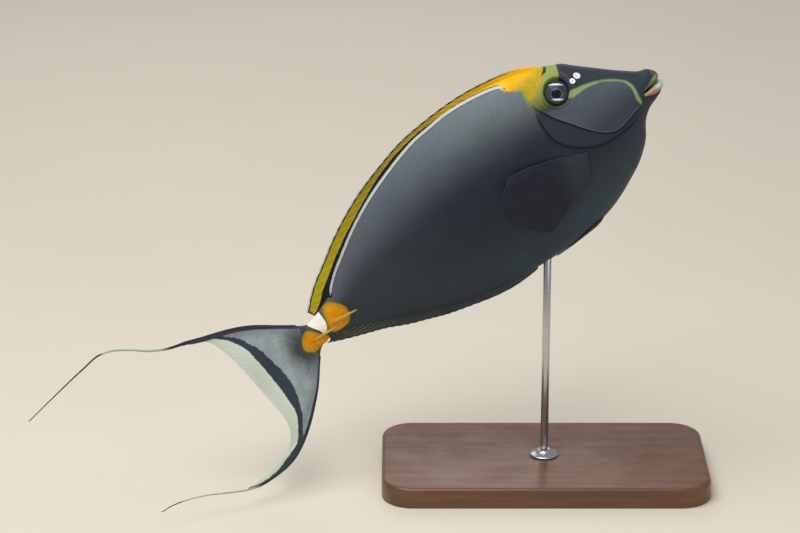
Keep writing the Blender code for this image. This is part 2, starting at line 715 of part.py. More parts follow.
def make_keel(where, label, side, material):
    """An oval bony plate with a flat blade hooked forwards, set on the tail stalk."""
    centre, level, length, height, reach, hook = KEELS[where]
    name = f"keel_{where}_{label}"
    wall = float(flank(centre, level))
    plate = ball(name, (length, KEEL_PLATE_HALF, height), 16, 8)
    placed = [Vector(v.co) / MM + Vector((centre, side * (wall - 0.2), level))
              for v in plate.vertices]
    for vertex, place in zip(plate.vertices, bend(placed)):
        vertex.co = Vector(place) * MM
    keel_object = add_object(name, plate, material, fish)
    outline = route([(-length * 0.8, -1.5), (0, reach * 0.6), (hook * 0.55, reach * 0.95),
                     (hook, reach), (hook * 0.7, reach * 0.62), (length * 0.7, -1.5)], 12)
    spine_rings = []
    for rise, share in ((-1, 0.55), (0, 1), (1, 0.55)):
        middle = outline.mean(axis=0)
        flat = middle + (outline - middle) * (0.9 + 0.1 * share)
        spine_rings.append(np.stack([
            centre + flat[:, 0],
            side * (wall + flat[:, 1]),
            level + rise * KEEL_THICK / 2 + 0.1 * np.maximum(flat[:, 0], 0),
        ], axis=1))
    blade_mesh = loft(name + "_blade", bend(np.stack(spine_rings)))
    fuse(keel_object, [add_object(name + "_blade", blade_mesh, parent=fish)])
    boolean(keel_object, body_grown)
    return smooth(settle(keel_object), 50)


def make_stand():
    length, width, height = BASE_SIZE
    bpy.ops.mesh.primitive_cube_add(size=1)
    cube = bpy.context.object
    mesh = cube.data
    bpy.data.objects.remove(cube)
    work = bmesh.new()
    work.from_mesh(mesh)
    bmesh.ops.scale(work, vec=Vector(BASE_SIZE) * MM, verts=work.verts)
    bmesh.ops.translate(work, vec=(0, 0, height / 2 * MM), verts=work.verts)
    upright = [e for e in work.edges if abs(e.verts[0].co.z - e.verts[1].co.z) > MM]
    bmesh.ops.bevel(work, geom=upright, offset=BASE_CORNER * MM, segments=8, profile=0.5,
                    affect="EDGES")
    rim = [e for e in work.edges if min(v.co.z for v in e.verts) > (height - 0.1) * MM]
    bmesh.ops.bevel(work, geom=rim, offset=BASE_ROUND * MM, segments=3, profile=0.5,
                    affect="EDGES")
    work.to_mesh(mesh)
    work.free()
    base = add_object("stand_base", mesh, finish("stand_wood", (0.16, 0.07, 0.03), 0.4))
    smooth(base, 35)

    foot = height + GAP
    bpy.ops.mesh.primitive_cylinder_add(
        vertices=20, radius=ROD_RADIUS * MM, depth=(rod_top - foot) * MM,
        location=(0, 0, (rod_top + foot) / 2 * MM),
    )
    cylinder = bpy.context.object
    rod_mesh = cylinder.data
    rod_mesh.transform(Matrix.Translation(cylinder.location))
    bpy.data.objects.remove(cylinder)
    steel = finish("stand_steel", (0.55, 0.55, 0.56), 0.25, 1.0)
    smooth(add_object("stand_rod", rod_mesh, steel))

    inner = ROD_RADIUS + GAP
    profile = [(inner, foot), (inner, foot + COLLAR_HEIGHT), (inner + 2.5, foot + COLLAR_HEIGHT),
               (COLLAR_RADIUS - 2, foot + COLLAR_HEIGHT * 0.45), (COLLAR_RADIUS, foot + 1.2),
               (COLLAR_RADIUS, foot)]
    turns = np.linspace(0, 2 * np.pi, 20, endpoint=False)
    rings = np.array([[(r * np.cos(a), r * np.sin(a), z) for r, z in profile] for a in turns])
    sides = len(profile)
    faces = [
        (i * sides + j, i * sides + (j + 1) % sides,
         (i + 1) % len(turns) * sides + (j + 1) % sides, (i + 1) % len(turns) * sides + j)
        for i in range(len(turns))
        for j in range(sides)
    ]
    collar = mesh_from("stand_collar", rings.reshape(-1, 3), faces)
    smooth(add_object("stand_collar", collar, finish("collar_steel", (0.5, 0.5, 0.52), 0.3, 1.0)))


SIDES = (("right", -1), ("left", 1))

for old in list(bpy.data.objects):
    bpy.data.objects.remove(old)
parts = bpy.data.collections.new("unicornfish")
cutters = bpy.data.collections.new("cutters")
for group in (parts, cutters):
    bpy.context.scene.collection.children.link(group)

# The fish stands on the rod, high enough for the lower streamer to clear the floor.
cos_up, sin_up = math.cos(NOSE_UP), math.sin(NOSE_UP)
hanging = bend([(-a, 0, b) for a, b in LOWER_STREAMER])
lowest = float((hanging[:, 0] * sin_up + hanging[:, 2] * cos_up).min()) - STREAMER_TIP
tail_height = TAIL_CLEARANCE - lowest
rod_x = ROD_AT * cos_up - float(belly(ROD_AT)) * sin_up
rod_top = tail_height + ROD_AT * sin_up + float(belly(ROD_AT)) * cos_up + ROD_SUNK
fish = bpy.data.objects.new("fish_pose", None)
fish.location = (-rod_x * MM, 0, tail_height * MM)
fish.rotation_euler = (0, -NOSE_UP, 0)
parts.objects.link(fish)

body_grown = flesh_cutter()
make_torso()
make_tail_stalk()
make_head()
for label, side in SIDES:
    make_eye(label, side)
make_lip("upper_lip", UPPER_LIP, (0.30, 0.12, 0.03))
make_lip("lower_lip", LOWER_LIP, (0.75, 0.28, 0.04))
make_folded_fin("dorsal_fin", DORSAL_BASE, DORSAL_RAYS, DORSAL_LEAN, DORSAL_EDGE, back, 1,
                finish("dorsal_orange", ORANGE))
make_folded_fin("anal_fin", ANAL_BASE, ANAL_RAYS, ANAL_LEAN, ANAL_EDGE, belly, -1,
                finish("anal_dark", BLACK))
tail_grey = finish("tail_grey", (0.25, 0.26, 0.27))
make_lobe("caudal_fin_upper", UPPER_LEAD, UPPER_TRAIL, tail_grey)
make_lobe("caudal_fin_lower", LOWER_LEAD, LOWER_TRAIL, tail_grey)
streamer_grey = finish("streamer_grey", (0.12, 0.12, 0.13))
make_streamer("streamer_upper", UPPER_STREAMER, UPPER_PART, streamer_grey)
make_streamer("streamer_lower", LOWER_STREAMER, LOWER_PART, streamer_grey)
fin_dark = finish("fin_dark", (0.03, 0.031, 0.036))
keel_orange = finish("keel_orange", ORANGE, 0.35)
for label, side in SIDES:
    make_pectoral(label, side, fin_dark)
    make_pelvic(label, side, fin_dark)
    for where in KEELS:
        make_keel(where, label, side, keel_orange)
make_stand()
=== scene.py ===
"""Elegant unicornfish (Naso elegans): the skin, fins, eyes and finishes of a still display model.

Sizes are millimetres in the fish's own frame, as in the solids: x runs forward from the root of
the tail fin, y to the fish's left and z to its back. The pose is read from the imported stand.
"""

import math

import bmesh
import bpy
import numpy as np
from bpy.props import FloatProperty, FloatVectorProperty, IntProperty, PointerProperty
from mathutils import Matrix, Vector


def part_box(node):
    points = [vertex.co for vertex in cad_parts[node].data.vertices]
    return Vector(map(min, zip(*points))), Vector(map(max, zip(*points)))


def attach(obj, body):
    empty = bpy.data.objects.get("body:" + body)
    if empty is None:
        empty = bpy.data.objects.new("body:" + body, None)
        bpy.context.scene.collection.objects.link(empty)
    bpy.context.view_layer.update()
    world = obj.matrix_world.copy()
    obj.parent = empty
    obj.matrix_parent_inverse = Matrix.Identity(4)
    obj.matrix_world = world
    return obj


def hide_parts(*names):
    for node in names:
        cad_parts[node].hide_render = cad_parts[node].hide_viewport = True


bl_info = {
    "name": "Elegant Unicornfish Model",
    "version": (1, 0, 0),
    "blender": (4, 5, 0),
    "location": "View3D > Sidebar > Unicornfish",
    "description": "Builds the skin, fins and finishes of a unicornfish display model",
    "category": "Object",
}

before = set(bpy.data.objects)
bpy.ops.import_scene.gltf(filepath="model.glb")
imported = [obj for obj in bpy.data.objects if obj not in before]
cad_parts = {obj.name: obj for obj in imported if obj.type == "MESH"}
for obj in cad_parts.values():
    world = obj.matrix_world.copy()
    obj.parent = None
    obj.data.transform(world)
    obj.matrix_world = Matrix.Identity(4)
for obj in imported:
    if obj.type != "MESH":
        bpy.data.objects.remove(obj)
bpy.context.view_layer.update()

MM = 0.001
SIDES = (("right", -1), ("left", 1))

# Pose of the fish, and the arc that its tail bends through, to its right.
NOSE_UP = math.radians(37.05)
BEND_START = 30.0
BEND_LENGTH = 50.0
BEND_RADIUS = BEND_LENGTH / math.radians(32.0)

# Body, as (x, size) stations: back line, belly line, half width and level of the widest line.
BACK = [(-8, 16.4), (-3, 12), (1, 10), (6, 10.6), (12, 12.2), (28, 18), (52, 35.5), (92, 58.5),
        (137, 75.5), (180, 80.8), (218, 78), (235, 74.3), (250, 70), (262, 65), (270, 61),
        (275, 58), (279, 53.5), (293, 40), (307, 27.3), (316, 20), (323, 17), (326.3, 13.2)]
BELLY = [(-8, -16.4), (-3, -12), (1, -9.9), (10, -9.7), (34, -17), (64, -31), (99, -45.5),
         (130, -54), (165, -59), (206, -59.5), (240, -54.5), (262, -45.5), (283, -33),
         (292, -24.5), (299, -14.5), (307, -8), (316, -4.5), (322, -1.5), (326.3, 4)]
HALF_WIDTH = [(-8, 1.6), (-3, 2.6), (1, 4), (6, 5.2), (12, 6.1), (30, 8.4), (60, 13.2), (90, 18),
              (120, 21.6), (150, 24.3), (180, 26.2), (210, 27), (240, 26.2), (255, 24.8),
              (270, 22.2), (285, 18.4), (300, 14.2), (308, 11.9), (314, 9.8), (319, 7.6),
              (323, 5), (326.3, 1.2)]
WIDEST_LEVEL = [(-8, 0), (10, 1), (60, 3), (120, 9), (180, 12), (230, 14), (260, 17), (290, 12),
                (310, 9), (326.3, 8)]
# How full the section is above and below its widest line, as powers, where 0.5 is an ellipse.
CROWN = [(-8, 0.6), (30, 0.62), (80, 0.75), (220, 0.75), (262, 0.56), (300, 0.5), (326.3, 0.5)]
KEEL = [(-8, 0.6), (30, 0.62), (80, 0.68), (220, 0.62), (262, 0.6), (290, 0.55), (326.3, 0.5)]
STALK_END = -7.0
HEAD_START = 232.0
SNOUT = 326.3
# The last stretch of the snout, and how many sections the skin has there.
SNOUT_RUN = 9.0
SNOUT_SECTIONS = 40

# Where the stand's rod enters the belly, and how far it is sunk there.
ROD_AT = 176.0
ROD_SUNK = 24.0

# Edges and patches of the head, as (x, z) seen from the side.
CHEEK_EDGE = [(241.6, 50), (243.3, 46.3), (245.3, 42.8), (247.6, 38.6), (249.9, 34.3),
              (252.9, 29.9), (256.5, 24.8), (260.7, 18.1), (265.1, 11.6), (269.8, 5.5),
              (273.6, 1.8), (277.9, -1), (282.6, -2.2), (289.6, -1.5), (296, -0.4),
              (302.4, 0.8)]
CHEEK_ABOVE = [(312, 4), (322, 24), (276, 66), (238, 62)]
CHEEK_LINE_LOW = [(265.5, 39.4), (267.4, 38), (269.8, 37.3), (272.6, 37.2), (275.9, 36.9),
                  (279.9, 36.4), (283.6, 35.4), (287, 34.2), (290.4, 33.1), (293.6, 31.1),
                  (297.7, 28), (302.2, 24.2), (304.1, 21.9), (305.4, 18.8), (305.9, 15.8),
                  (305.6, 12.9), (304.9, 9.9), (304.1, 7), (304, 4.4), (304.4, 1)]
CHEEK_LINE_HIGH = [(305.4, 1.1), (306.8, 3), (307.4, 6.5), (308, 9.9), (308.4, 12.3), (308.7, 15.7),
                   (307.8, 19.3), (305.8, 22.8), (303.2, 25.5), (298.8, 29.4), (294.6, 32.4),
                   (291.4, 34.4), (288.2, 36.2), (284.8, 37.9), (281.3, 39.4), (277.7, 40.8),
                   (274.6, 41.6), (271.6, 42.6), (269.1, 42.9), (266.6, 42.6)]
NAPE_EDGE = [(264.4, 70), (263.3, 63.8), (260.3, 61.8), (257.6, 60.1), (254.9, 59),
             (252.1, 57.8), (248.9, 56), (245.9, 54.5), (242.4, 54.7), (241, 56.4),
             (241.4, 59.3), (241.9, 61.7), (240.1, 63.6), (236.6, 65), (232.3, 67.6),
             (228.5, 71.4), (221.9, 75.6), (212, 78), (196, 80.6), (180, 82.4), (160, 84),
             (160, 95), (240, 95)]
# The gill cover's edge as it shows on the skin, where it ends under the cheek.
GILL_LINE = [(267, 78), (259.5, 66.5), (250, 58), (243, 49.5), (240, 41), (239, 30),
             (239.8, 22), (244, 13.7), (252.6, 4.6), (263.8, -2.4), (278.4, -5.4), (288, -6),
             (296, -4.8), (303, -3.4)]
# Points that close off the area in front of the gill cover's edge.
GILL_AHEAD = [(400, -3.4), (400, 120)]
GREEN_PATCH = [(276, 70), (274, 57), (272, 54), (268, 51), (269, 47.5), (267.6, 43),
               (265.9, 39.4), (261.5, 37.6), (256.5, 38), (250.1, 39.6), (243.9, 42),
               (240.6, 45.4), (239, 49.4), (239.2, 54), (240, 60), (246, 68), (262, 74)]
# The dark mask: its edge over the crown and behind the eye, and where it ends at the chin.
MASK_BROW = [(340, 30), (290, 75), (271, 75), (271, 60.3), (270.4, 58.2), (269.8, 56.1),
             (268.1, 54.3), (266.2, 53.1), (267.6, 48)]
MASK_CHIN = [(310, -2), (330, -6)]
THROAT = [(304, 2), (330, 2), (330, -60), (276, -60), (284, -30), (296, -12)]
# Points that the line along the back and the tail's lines are measured from.
MARK_POINTS = 80
# Markings of the head are measured only in front of this, and are far away behind it.
HEAD_MARKS_START = 150.0
FAR = -50.0

# Front and top of the raised gill cover, and the height above which the fold behind it is gone.
GILL_COVER_FRONT = 303.0
GILL_COVER_TOP = 60.0
GILL_FOLD_TOP = 46.0
# Height below which the nape is a duller yellow, the brown spot on the snout, as its hind end and
# its low and high edge, and the hind end and low edge of the dark marks on the crown.
NAPE_SHADE_TOP = 70.5
SNOUT_SPOT = (322.0, 6.0, 18.5)
CROWN_MARKS = (252.0, 62.0)

# Eye: its place, half depth, how far it stands out, the swell over the pupil, the depth of its
# socket, and the height and distance of the low fold round it.
EYE_AT = (261.2, 47.9)
EYE_DEPTH = 5.6
EYE_PROUD = 3.2
PUPIL_SWELL = 0.25
SOCKET_DEPTH = 3.2
BROW_FOLD = (0.35, 4.2)
# Nostrils: place and radius of each, the height of their rims and depth of their pits, and the
# signed distance given to places well away from them.
NOSTRILS = [((279.4, 47.1), 2.1), ((275.0, 46.6), 1.5)]
NOSTRIL_RIM = 0.6
NOSTRIL_PIT = 0.8
NOSTRIL_FAR = -9.0
# Mouth: its corner, its opening and depth there and in front, how far it falls towards the
# front, and the signed distance given to places behind it.
MOUTH_CORNER = (310.4, 6.8)
MOUTH_OPENING = (0.15, 3.45)
MOUTH_FALL = 1.1
MOUTH_DEPTH = (1.5, 8.0)
MOUTH_FAR = -5.0
# Lips: corner, front, half width, and radius at the corner and in front.
UPPER_LIP = ((313.6, 8.3), (324.4, 9.6), 9.4, 0.7, 2.1)
LOWER_LIP = ((310.8, 4.9), (322.6, 2.8), 10.4, 1.1, 3.2)

# Lines and patches of the body: white line along the back, and the marks of the tail stalk.
BACK_LINE = [(231, 69.9), (229.6, 72.5), (226.7, 73.6), (221.5, 75.1), (213.5, 76.7),
             (197, 78.9), (180, 79.4), (166.9, 78.4), (152.3, 77), (137.2, 73.6),
             (123, 69.4), (105.5, 63.4), (91.8, 57.7), (73.5, 48.6), (55, 37.4), (42, 29),
             (32.5, 21.2), (28.6, 17)]
# White line: half width in front and at the rear, and the shares of its run that its ends take.
WHITE_HALF_WIDTH = (0.78, 0.84)
WHITE_TAPERS = (0.015, 0.02)
# Dark line round the white one: its stretch of x, its reach up and down from the white line's
# middle, and the x behind which it reaches further up, by how much.
DARK_LINE_SPAN = (15.0, 231.5)
DARK_LINE_REACH = (1.35, 1.3)
DARK_LINE_WIDENS = (168.0, 4.4)
# Stretches of x of the nape's yellow over the dark line and of the yellow line under the throat.
NAPE_SPAN = (143.0, 236.0)
BELLY_LINE_SPAN = (222.0, 302.0)
FRONT_PATCH = [(18.4, 14), (25.5, 14), (30, 10.9), (33.8, 5.6), (34, 1.2), (32, -3.4),
               (28, -7), (20.8, -8), (14, -7.6), (11, -3.6), (13.8, 3.1), (15.8, 9.4)]
REAR_PATCH = [(-3.2, 7.2), (-0.8, 5.4), (3, 0.3), (5.8, -3.6), (5.5, -7), (3, -8.8),
              (-2.6, -10.2), (-7.4, -10), (-11, -7.6), (-13.4, -4.2), (-12.8, -0.6),
              (-10.8, 2.8), (-7, 5.8)]
SADDLE = [(0.2, 9), (1, 13), (8, 15), (12.8, 14), (13.8, 8), (13.2, 3.2), (10.7, -1.4),
          (6.4, -3.2), (4.9, 1), (2.6, 4.6)]

# Folded fins on the mid line: base, lean and outer edge.
DORSAL_BASE = (263.5, 10.5)
DORSAL_LEAN = [(10, 4.2), (20, 11), (30, 20), (60, 23), (100, 24), (200, 20), (240, 12),
               (257, 4), (263.5, 2.5)]
DORSAL_EDGE = [(2, 14), (6.3, 17.6), (8.3, 19.4), (13, 23.8), (19.3, 28.7), (26.2, 33.4),
               (33.8, 37.9), (41.4, 42.4), (53.7, 50.2), (77.8, 62.5), (102.6, 72.2),
               (122.7, 78), (145, 83.1), (163.9, 85), (181.5, 85.6), (200.6, 85.1),
               (218.3, 83), (234.6, 79.4), (245.9, 75.2), (258, 67.9), (262, 65.4)]
# Height that the black at the dorsal fin's foot reaches, as (x, height) stations.
DARK_FOOT = [(10, 1), (14, 1.6), (20, 3.5), (26, 6.2), (33, 6.6), (41, 5.7), (48, 4.9), (56, 4),
             (63, 3.7), (71, 3), (79, 2.4), (95, 2), (118, 1.8), (130, 1.4), (145, 0.8),
             (160, 0.5), (178, -0.4), (217, -1), (232, -2)]
ANAL_BASE = (170.0, 9.5)
ANAL_LEAN = [(10, 4.2), (18, 13), (28, 24), (60, 28), (100, 28), (145, 25), (160, 14),
             (170, 5)]
ANAL_EDGE = [(3, -11), (10.9, -15.7), (18.3, -19.1), (33.7, -25.3), (49.1, -31.5), (63.8, -38.6),
             (83, -46.3), (98.9, -51.7), (115.4, -56.2), (130.3, -59.4), (146.4, -61.5),
             (158, -61.4), (165, -60.9), (170, -60.2)]
# How deep the feet of the folded fins are sunk in the skin.
FOOT_SUNK = 3.0

# Tail fin, as (distance behind the tail root, height).
UPPER_LEAD = [(6.6, 15.4), (19, 26.2), (34.6, 39.2), (44.7, 46), (55.6, 51.9), (71, 59.3),
              (81.4, 65.2)]
LOWER_LEAD = [(6.6, -15.4), (22.5, -31), (35, -40.1), (48.1, -48.7), (61.4, -55.3),
              (73.9, -58.9), (84, -59.9)]
TAIL_TRAIL = [(84, -59.9), (83.2, -57.4), (80.8, -54.6), (77.5, -52.6), (69.7, -49.4),
              (65.8, -45.7), (62.4, -40.6), (60, -33.6), (59.2, -27.4), (59.2, -20.7),
              (59.1, -12.9), (59.3, -5.7), (59.6, 2.7), (60.1, 10.4), (60.4, 18.7), (61, 26.4),
              (61.6, 33), (62.9, 41.3), (65.3, 49.5), (68.6, 54.6), (75, 59.4), (81.2, 63.9),
              (81.4, 65.2)]
BAND_INNER = [(66, 60), (54, 46.6), (49.1, 41), (45.3, 35.5), (43.6, 28.9), (41.6, 25.1),
              (40.1, 20.7), (39.4, 13), (38.4, 8), (37.5, 1), (37.3, -5), (37.2, -12),
              (38.6, -19.4), (40.4, -25), (45.4, -35.7), (49.6, -42.2), (54.3, -48.1), (62, -58)]
BAND_OUTER = [(82, 64.6), (75, 60.4), (68.5, 56.3), (62.8, 52.3), (58.8, 48.3), (54.6, 43.4),
              (51.9, 37.9), (50.1, 33.8), (48.5, 28.3), (47.7, 22), (47.3, 15), (46.9, 3.4),
              (46.8, -2.7), (46.8, -8.6), (47.3, -15.6), (48.2, -24), (49.6, -32.9),
              (51.9, -38), (56.3, -44.2), (61.3, -49.9), (65.8, -52.8), (70.4, -53.9),
              (76.9, -55), (85, -56.5), (91.6, -56.8)]
# The lower lobe goes on as a narrow strip beside its streamer: its hind edge, and where its dark
# part ends.
STRIP_HIND = [(77.5, -52.6), (83.1, -53.3), (92, -53.4), (100, -52.9), (107, -52.1), (113, -51),
              (116.5, -50.5)]
STRIP_BAND = [(85, -56.5), (91.6, -56.8), (97.7, -56.2), (105.4, -55), (113, -52.4)]
UPPER_STREAMER = [(82.3, 65.2), (93, 70.2), (106, 79.2), (117, 90), (128, 99), (138, 103.4),
                  (152, 104), (177, 104), (209, 103.3)]
LOWER_STREAMER = [(84.3, -59.4), (95, -58.6), (106, -56.2), (116, -51.8), (129, -42.8),
                  (142, -33), (155.5, -24.6), (169, -18.6), (178, -16.4)]
# Middle of the dark cloud at the tail fin's root.
TAIL_CLOUD = (9.0, -6.0)
# Distances behind the tail root between which each streamer is pale.
UPPER_PALE = (92.0, 138.0)
LOWER_PALE = (106.0, 163.0)

# Pectoral fin: middle and length of its base, and its longest ray.
PECTORAL_AT = (246.0, -9.5)
PECTORAL_BASE = 20.0
PECTORAL_LENGTH = 71.0
# Pectoral fin: rise of its first ray, spread to its last, curl of its tip and sweep off the flank.
PECTORAL_RISE = math.radians(27)
PECTORAL_SPREAD = math.radians(47)
PECTORAL_CURL = math.radians(7)
PECTORAL_SWEEP = math.radians(15)
# Pelvic fin: its spine and rays together, where its base and tip lie along the belly, and how
# far its first ray leans from the mid line and the others spread.
PELVIC_RAYS = 4
PELVIC_BASE = 231.0
PELVIC_TIP = 184.0
PELVIC_LEAN = math.radians(4)
PELVIC_SPREAD = math.radians(11)

# Hooked keels on the tail stalk: centre x and level of the plate, its half length and height,
# and how far the hook reaches out and forwards.
KEELS = {"front": (22.5, -2.0, 9.5, 5.6, 6.6, 19.0), "rear": (2.6, -5.0, 6.8, 4.4, 5.6, 16.2)}

# Stand: rounding of the base's upright corners, its top edge and its foot.
BASE_CORNER = 24.0
BASE_ROUND = 3.4
BASE_FOOT_ROUND = 0.8
# Gap between the rod and the bore of its collar.
COLLAR_GAP = 0.15
FLOOR_REACH = 14.0
LIGHT_AIM = Vector((0, 0, 0.2))

COAT_ROUGHNESS = 0.12

# Camera: the photograph's frame in pixels, where the tail root falls in it, and the scale there.
FRAME_WIDTH = 800
FRAME_HEIGHT = 533
TAIL_ROOT_PIXEL = (314.0, 333.0)
PIXEL_SIZE = 0.76
SENSOR = 36.0


def tint(red, green, blue):
    """Scene colour of a paint given as 0 to 255 values."""
    shares = [value / 255 for value in (red, green, blue)]
    return tuple(s / 12.92 if s <= 0.04045 else ((s + 0.055) / 1.055) ** 2.4 for s in shares)


DEEP_ORANGE = tint(217, 132, 3)


def colour_setting(name, description, paint):
    """A paint's colour, from 0 to 255 values."""
    return FloatVectorProperty(name=name, description=description, default=tint(*paint),
                               subtype="COLOR", size=3, min=0.0, max=1.0)


def size_setting(name, description, default):
    """A size in millimetres of the fish's frame."""
    return FloatProperty(name=name, description=description + ", in millimetres",
                         default=default, min=0.0, precision=2)


def count_setting(name, description, default, low, high):
    """How many of something there are."""
    return IntProperty(name=name, description=description, default=default, min=low, max=high)


class UnicornfishSizes(bpy.types.PropertyGroup):
    """Sizes that the pieces are modelled from."""

    gill_rise: size_setting("Gill Cover", "How far the gill cover stands proud", 0.9)
    cheek_rise: size_setting("Cheek", "How far the cheek's edge stands proud", 0.8)
    groove: size_setting("Grooves", "Depth of the folds beside raised edges", 0.5)
    orbit_rise: size_setting("Orbit", "Height of the rim round the eye", 0.9)
    eye_radius: size_setting("Eye", "Radius of the eyeball", 9.4)
    pupil: size_setting("Pupil", "Half width of the pupil", 3.7)
    membrane: size_setting("Membrane", "Half thickness of the fins between rays", 0.16)
    ray: size_setting("Ray", "Half thickness of a fin ray at its root", 0.55)
    scale_depth: size_setting("Scales", "Depth of the fine scales", 0.05)
    head_step: size_setting("Head Detail", "Spacing of the skin's sections on the head", 0.4)
    body_step: size_setting("Body Detail", "Spacing of the skin's sections on the body", 0.95)
    section_points: count_setting("Section Points", "Points round each section of the skin",
                                  380, 64, 800)
    dorsal_rays: count_setting("Dorsal Rays", "Spines and soft rays of the fin along the back",
                               34, 8, 60)
    anal_rays: count_setting("Anal Rays", "Rays of the fin along the belly", 31, 8, 60)
    tail_rays: count_setting("Tail Rays", "Main rays of the tail fin", 18, 8, 40)
    pectoral_rays: count_setting("Pectoral Rays", "Rays of each pectoral fin", 17, 6, 30)


class UnicornfishColours(bpy.types.PropertyGroup):
    """Colours of the markings."""

    # Back, flank and belly grade from pale to dark partly as the fish's colour and partly as
    # painted light from above.
    back: colour_setting("Back", "Slate grey along the back", (112, 124, 129))
    flank: colour_setting("Flank", "Dark slate of the flanks", (38, 45, 56))
    belly: colour_setting("Belly", "Olive black of the belly", (52, 66, 73))
    mask: colour_setting("Mask", "Black of the forehead and snout", (46, 55, 64))
    cheek: colour_setting("Cheek", "Grey of the cheek", (80, 88, 99))
    green: colour_setting("Green", "Yellow green round the eye", (142, 154, 78))
    nape: colour_setting("Nape", "Orange yellow of the nape", (245, 190, 0))
    white: colour_setting("White Line", "Blue white line along the back", (194, 201, 205))
    patch: colour_setting("Stalk Orange", "Orange round the keels", (218, 157, 3))
    saddle: colour_setting("Saddle", "White saddle on the tail stalk", (250, 246, 232))
    mustard: colour_setting("Mustard", "Rear of the dorsal fin's band", (186, 173, 12))
    black: colour_setting("Black", "Lines and bands of the fins", (26, 29, 37))
    tail: colour_setting("Tail Grey", "Field of the tail fin", (160, 173, 174))
    margin: colour_setting("Pale Margin", "Hind edge of the tail fin", (214, 224, 206))
    band: colour_setting("Tail Band", "Dark slate of the tail's crescent and edges", (51, 60, 71))
    gold: colour_setting("Gold", "Streaks on the anal fin", (160, 146, 78))
    lip: colour_setting("Lip", "Orange of the lower lip", (166, 127, 84))
    lip_pale: colour_setting("Pale Lip", "Front of the lower lip", (188, 201, 182))
    wood: colour_setting("Wood", "Stand's wooden base", (104, 66, 40))
    floor: colour_setting("Floor", "Plain pale floor", (227, 218, 200))


class UnicornfishStage(bpy.types.PropertyGroup):
    """Camera and lights."""

    elevation: FloatProperty(name="Camera Elevation", default=math.radians(20.0),
                             subtype="ANGLE", description="How far the camera looks down")
    distance: FloatProperty(name="Camera Distance", default=2.2, unit="LENGTH",
                            description="From the camera to the fish")
    key_power: FloatProperty(name="Key Light", default=25.0, min=0.0,
                             description="Power of the large soft light overhead, in watts")
    fill_power: FloatProperty(name="Fill Light", default=5.0, min=0.0,
                              description="Power of the soft light beside the camera, in watts")
    room_light: FloatProperty(name="Room Light", default=0.36, min=0.0,
                              description="Strength of the even light from the room")


def through(stations):
    """A smooth curve through (x, value) stations, read at any x."""
    xs, values = np.array(sorted(stations), float).T
    steps = np.diff(xs)
    slopes = np.diff(values) / steps
    inner = (slopes[:-1] * steps[1:] + slopes[1:] * steps[:-1]) / (steps[:-1] + steps[1:])
    tangents = np.concatenate([slopes[:1], inner, slopes[-1:]])

    def read(x):
        x = np.clip(np.asarray(x, float), xs[0], xs[-1])
        i = np.clip(np.searchsorted(xs, x, side="right") - 1, 0, len(steps) - 1)
        h = steps[i]
        u = (x - xs[i]) / h
        return (
            values[i] * (1 + 2 * u) * (1 - u) ** 2
            + h * tangents[i] * u * (1 - u) ** 2
            + values[i + 1] * u * u * (3 - 2 * u)
            + h * tangents[i + 1] * u * u * (u - 1)
        )

    return read


back, belly, half_width, widest = map(through, (BACK, BELLY, HALF_WIDTH, WIDEST_LEVEL))
crown, keel = through(CROWN), through(KEEL)


def route(points, shares):
    """Points of a smooth curve through a few points, at shares of its run or that many, even."""
    points = np.array(points, float)
    shares = np.linspace(0, 1, shares) if np.isscalar(shares) else shares
    knots = np.concatenate([[0], np.cumsum(np.linalg.norm(np.diff(points, axis=0), axis=1))])
    reads = [through(list(zip(knots, axis))) for axis in points.T]
    fine = np.linspace(0, knots[-1], 40 * len(points))
    dense = np.stack([read(fine) for read in reads], axis=1)
    along = np.concatenate([[0], np.cumsum(np.linalg.norm(np.diff(dense, axis=0), axis=1))])
    return np.stack([np.interp(along[-1] * shares, along, axis) for axis in dense.T],
                    axis=1)


def fade(value):
    """0 below 0, 1 above 1, and an S-shaped rise between."""
    value = np.clip(value, 0, 1)
    return value * value * (3 - 2 * value)


def unit(vectors):
    """Vectors at a length of 1."""
    return vectors / np.maximum(np.linalg.norm(vectors, axis=-1, keepdims=True), 1e-9)


def bend(points):
    """Carries points of the straight fish to the fish whose tail bends to its right."""
    points = np.array(points, float)
    x, y, z = np.moveaxis(points, -1, 0)
    run = np.maximum(BEND_START - x, 0)
    turn = np.minimum(run, BEND_LENGTH) / BEND_RADIUS
    past = np.maximum(run - BEND_LENGTH, 0)
    bent_x = BEND_START - BEND_RADIUS * np.sin(turn) - past * np.cos(turn) - y * np.sin(turn)
    bent_y = -BEND_RADIUS * (1 - np.cos(turn)) - past * np.sin(turn) + y * np.cos(turn)
    behind = x < BEND_START
    return np.stack([np.where(behind, bent_x, x), np.where(behind, bent_y, y), z], axis=-1)


def flank(x, z):
    """Half width of the body at x and level z."""
    top, bottom, level = back(x), belly(x), widest(x)
    share = np.where(z > level, (z - level) / (top - level), (level - z) / (level - bottom))
    power = np.where(z > level, crown(x), keel(x))
    return half_width(x) * np.maximum(1 - np.minimum(share, 1) ** 2, 0) ** power


def skin(x, angle, grow=0.0):
    """Point of the body's surface at x, at an angle round the section from its left side."""
    x, angle = np.broadcast_arrays(np.asarray(x, float), np.asarray(angle, float))
    cos, sin = np.cos(angle), np.sin(angle)
    level = widest(x)
    z = level + sin * np.where(sin > 0, back(x) + grow - level, level - belly(x) + grow)
    power = 2 * np.where(sin > 0, crown(x), keel(x))
    y = (half_width(x) + grow) * np.abs(cos) ** power
    return np.stack([x, np.sign(cos) * y, z], axis=-1)


def outward(x, z, side):
    """Direction that the flank faces at a side-view point."""
    step = 0.5
    dx = (flank(x + step, z) - flank(x - step, z)) / (2 * step)
    dz = (flank(x, z + step) - flank(x, z - step)) / (2 * step)
    return Vector((-float(dx), side, -float(dz))).normalized()


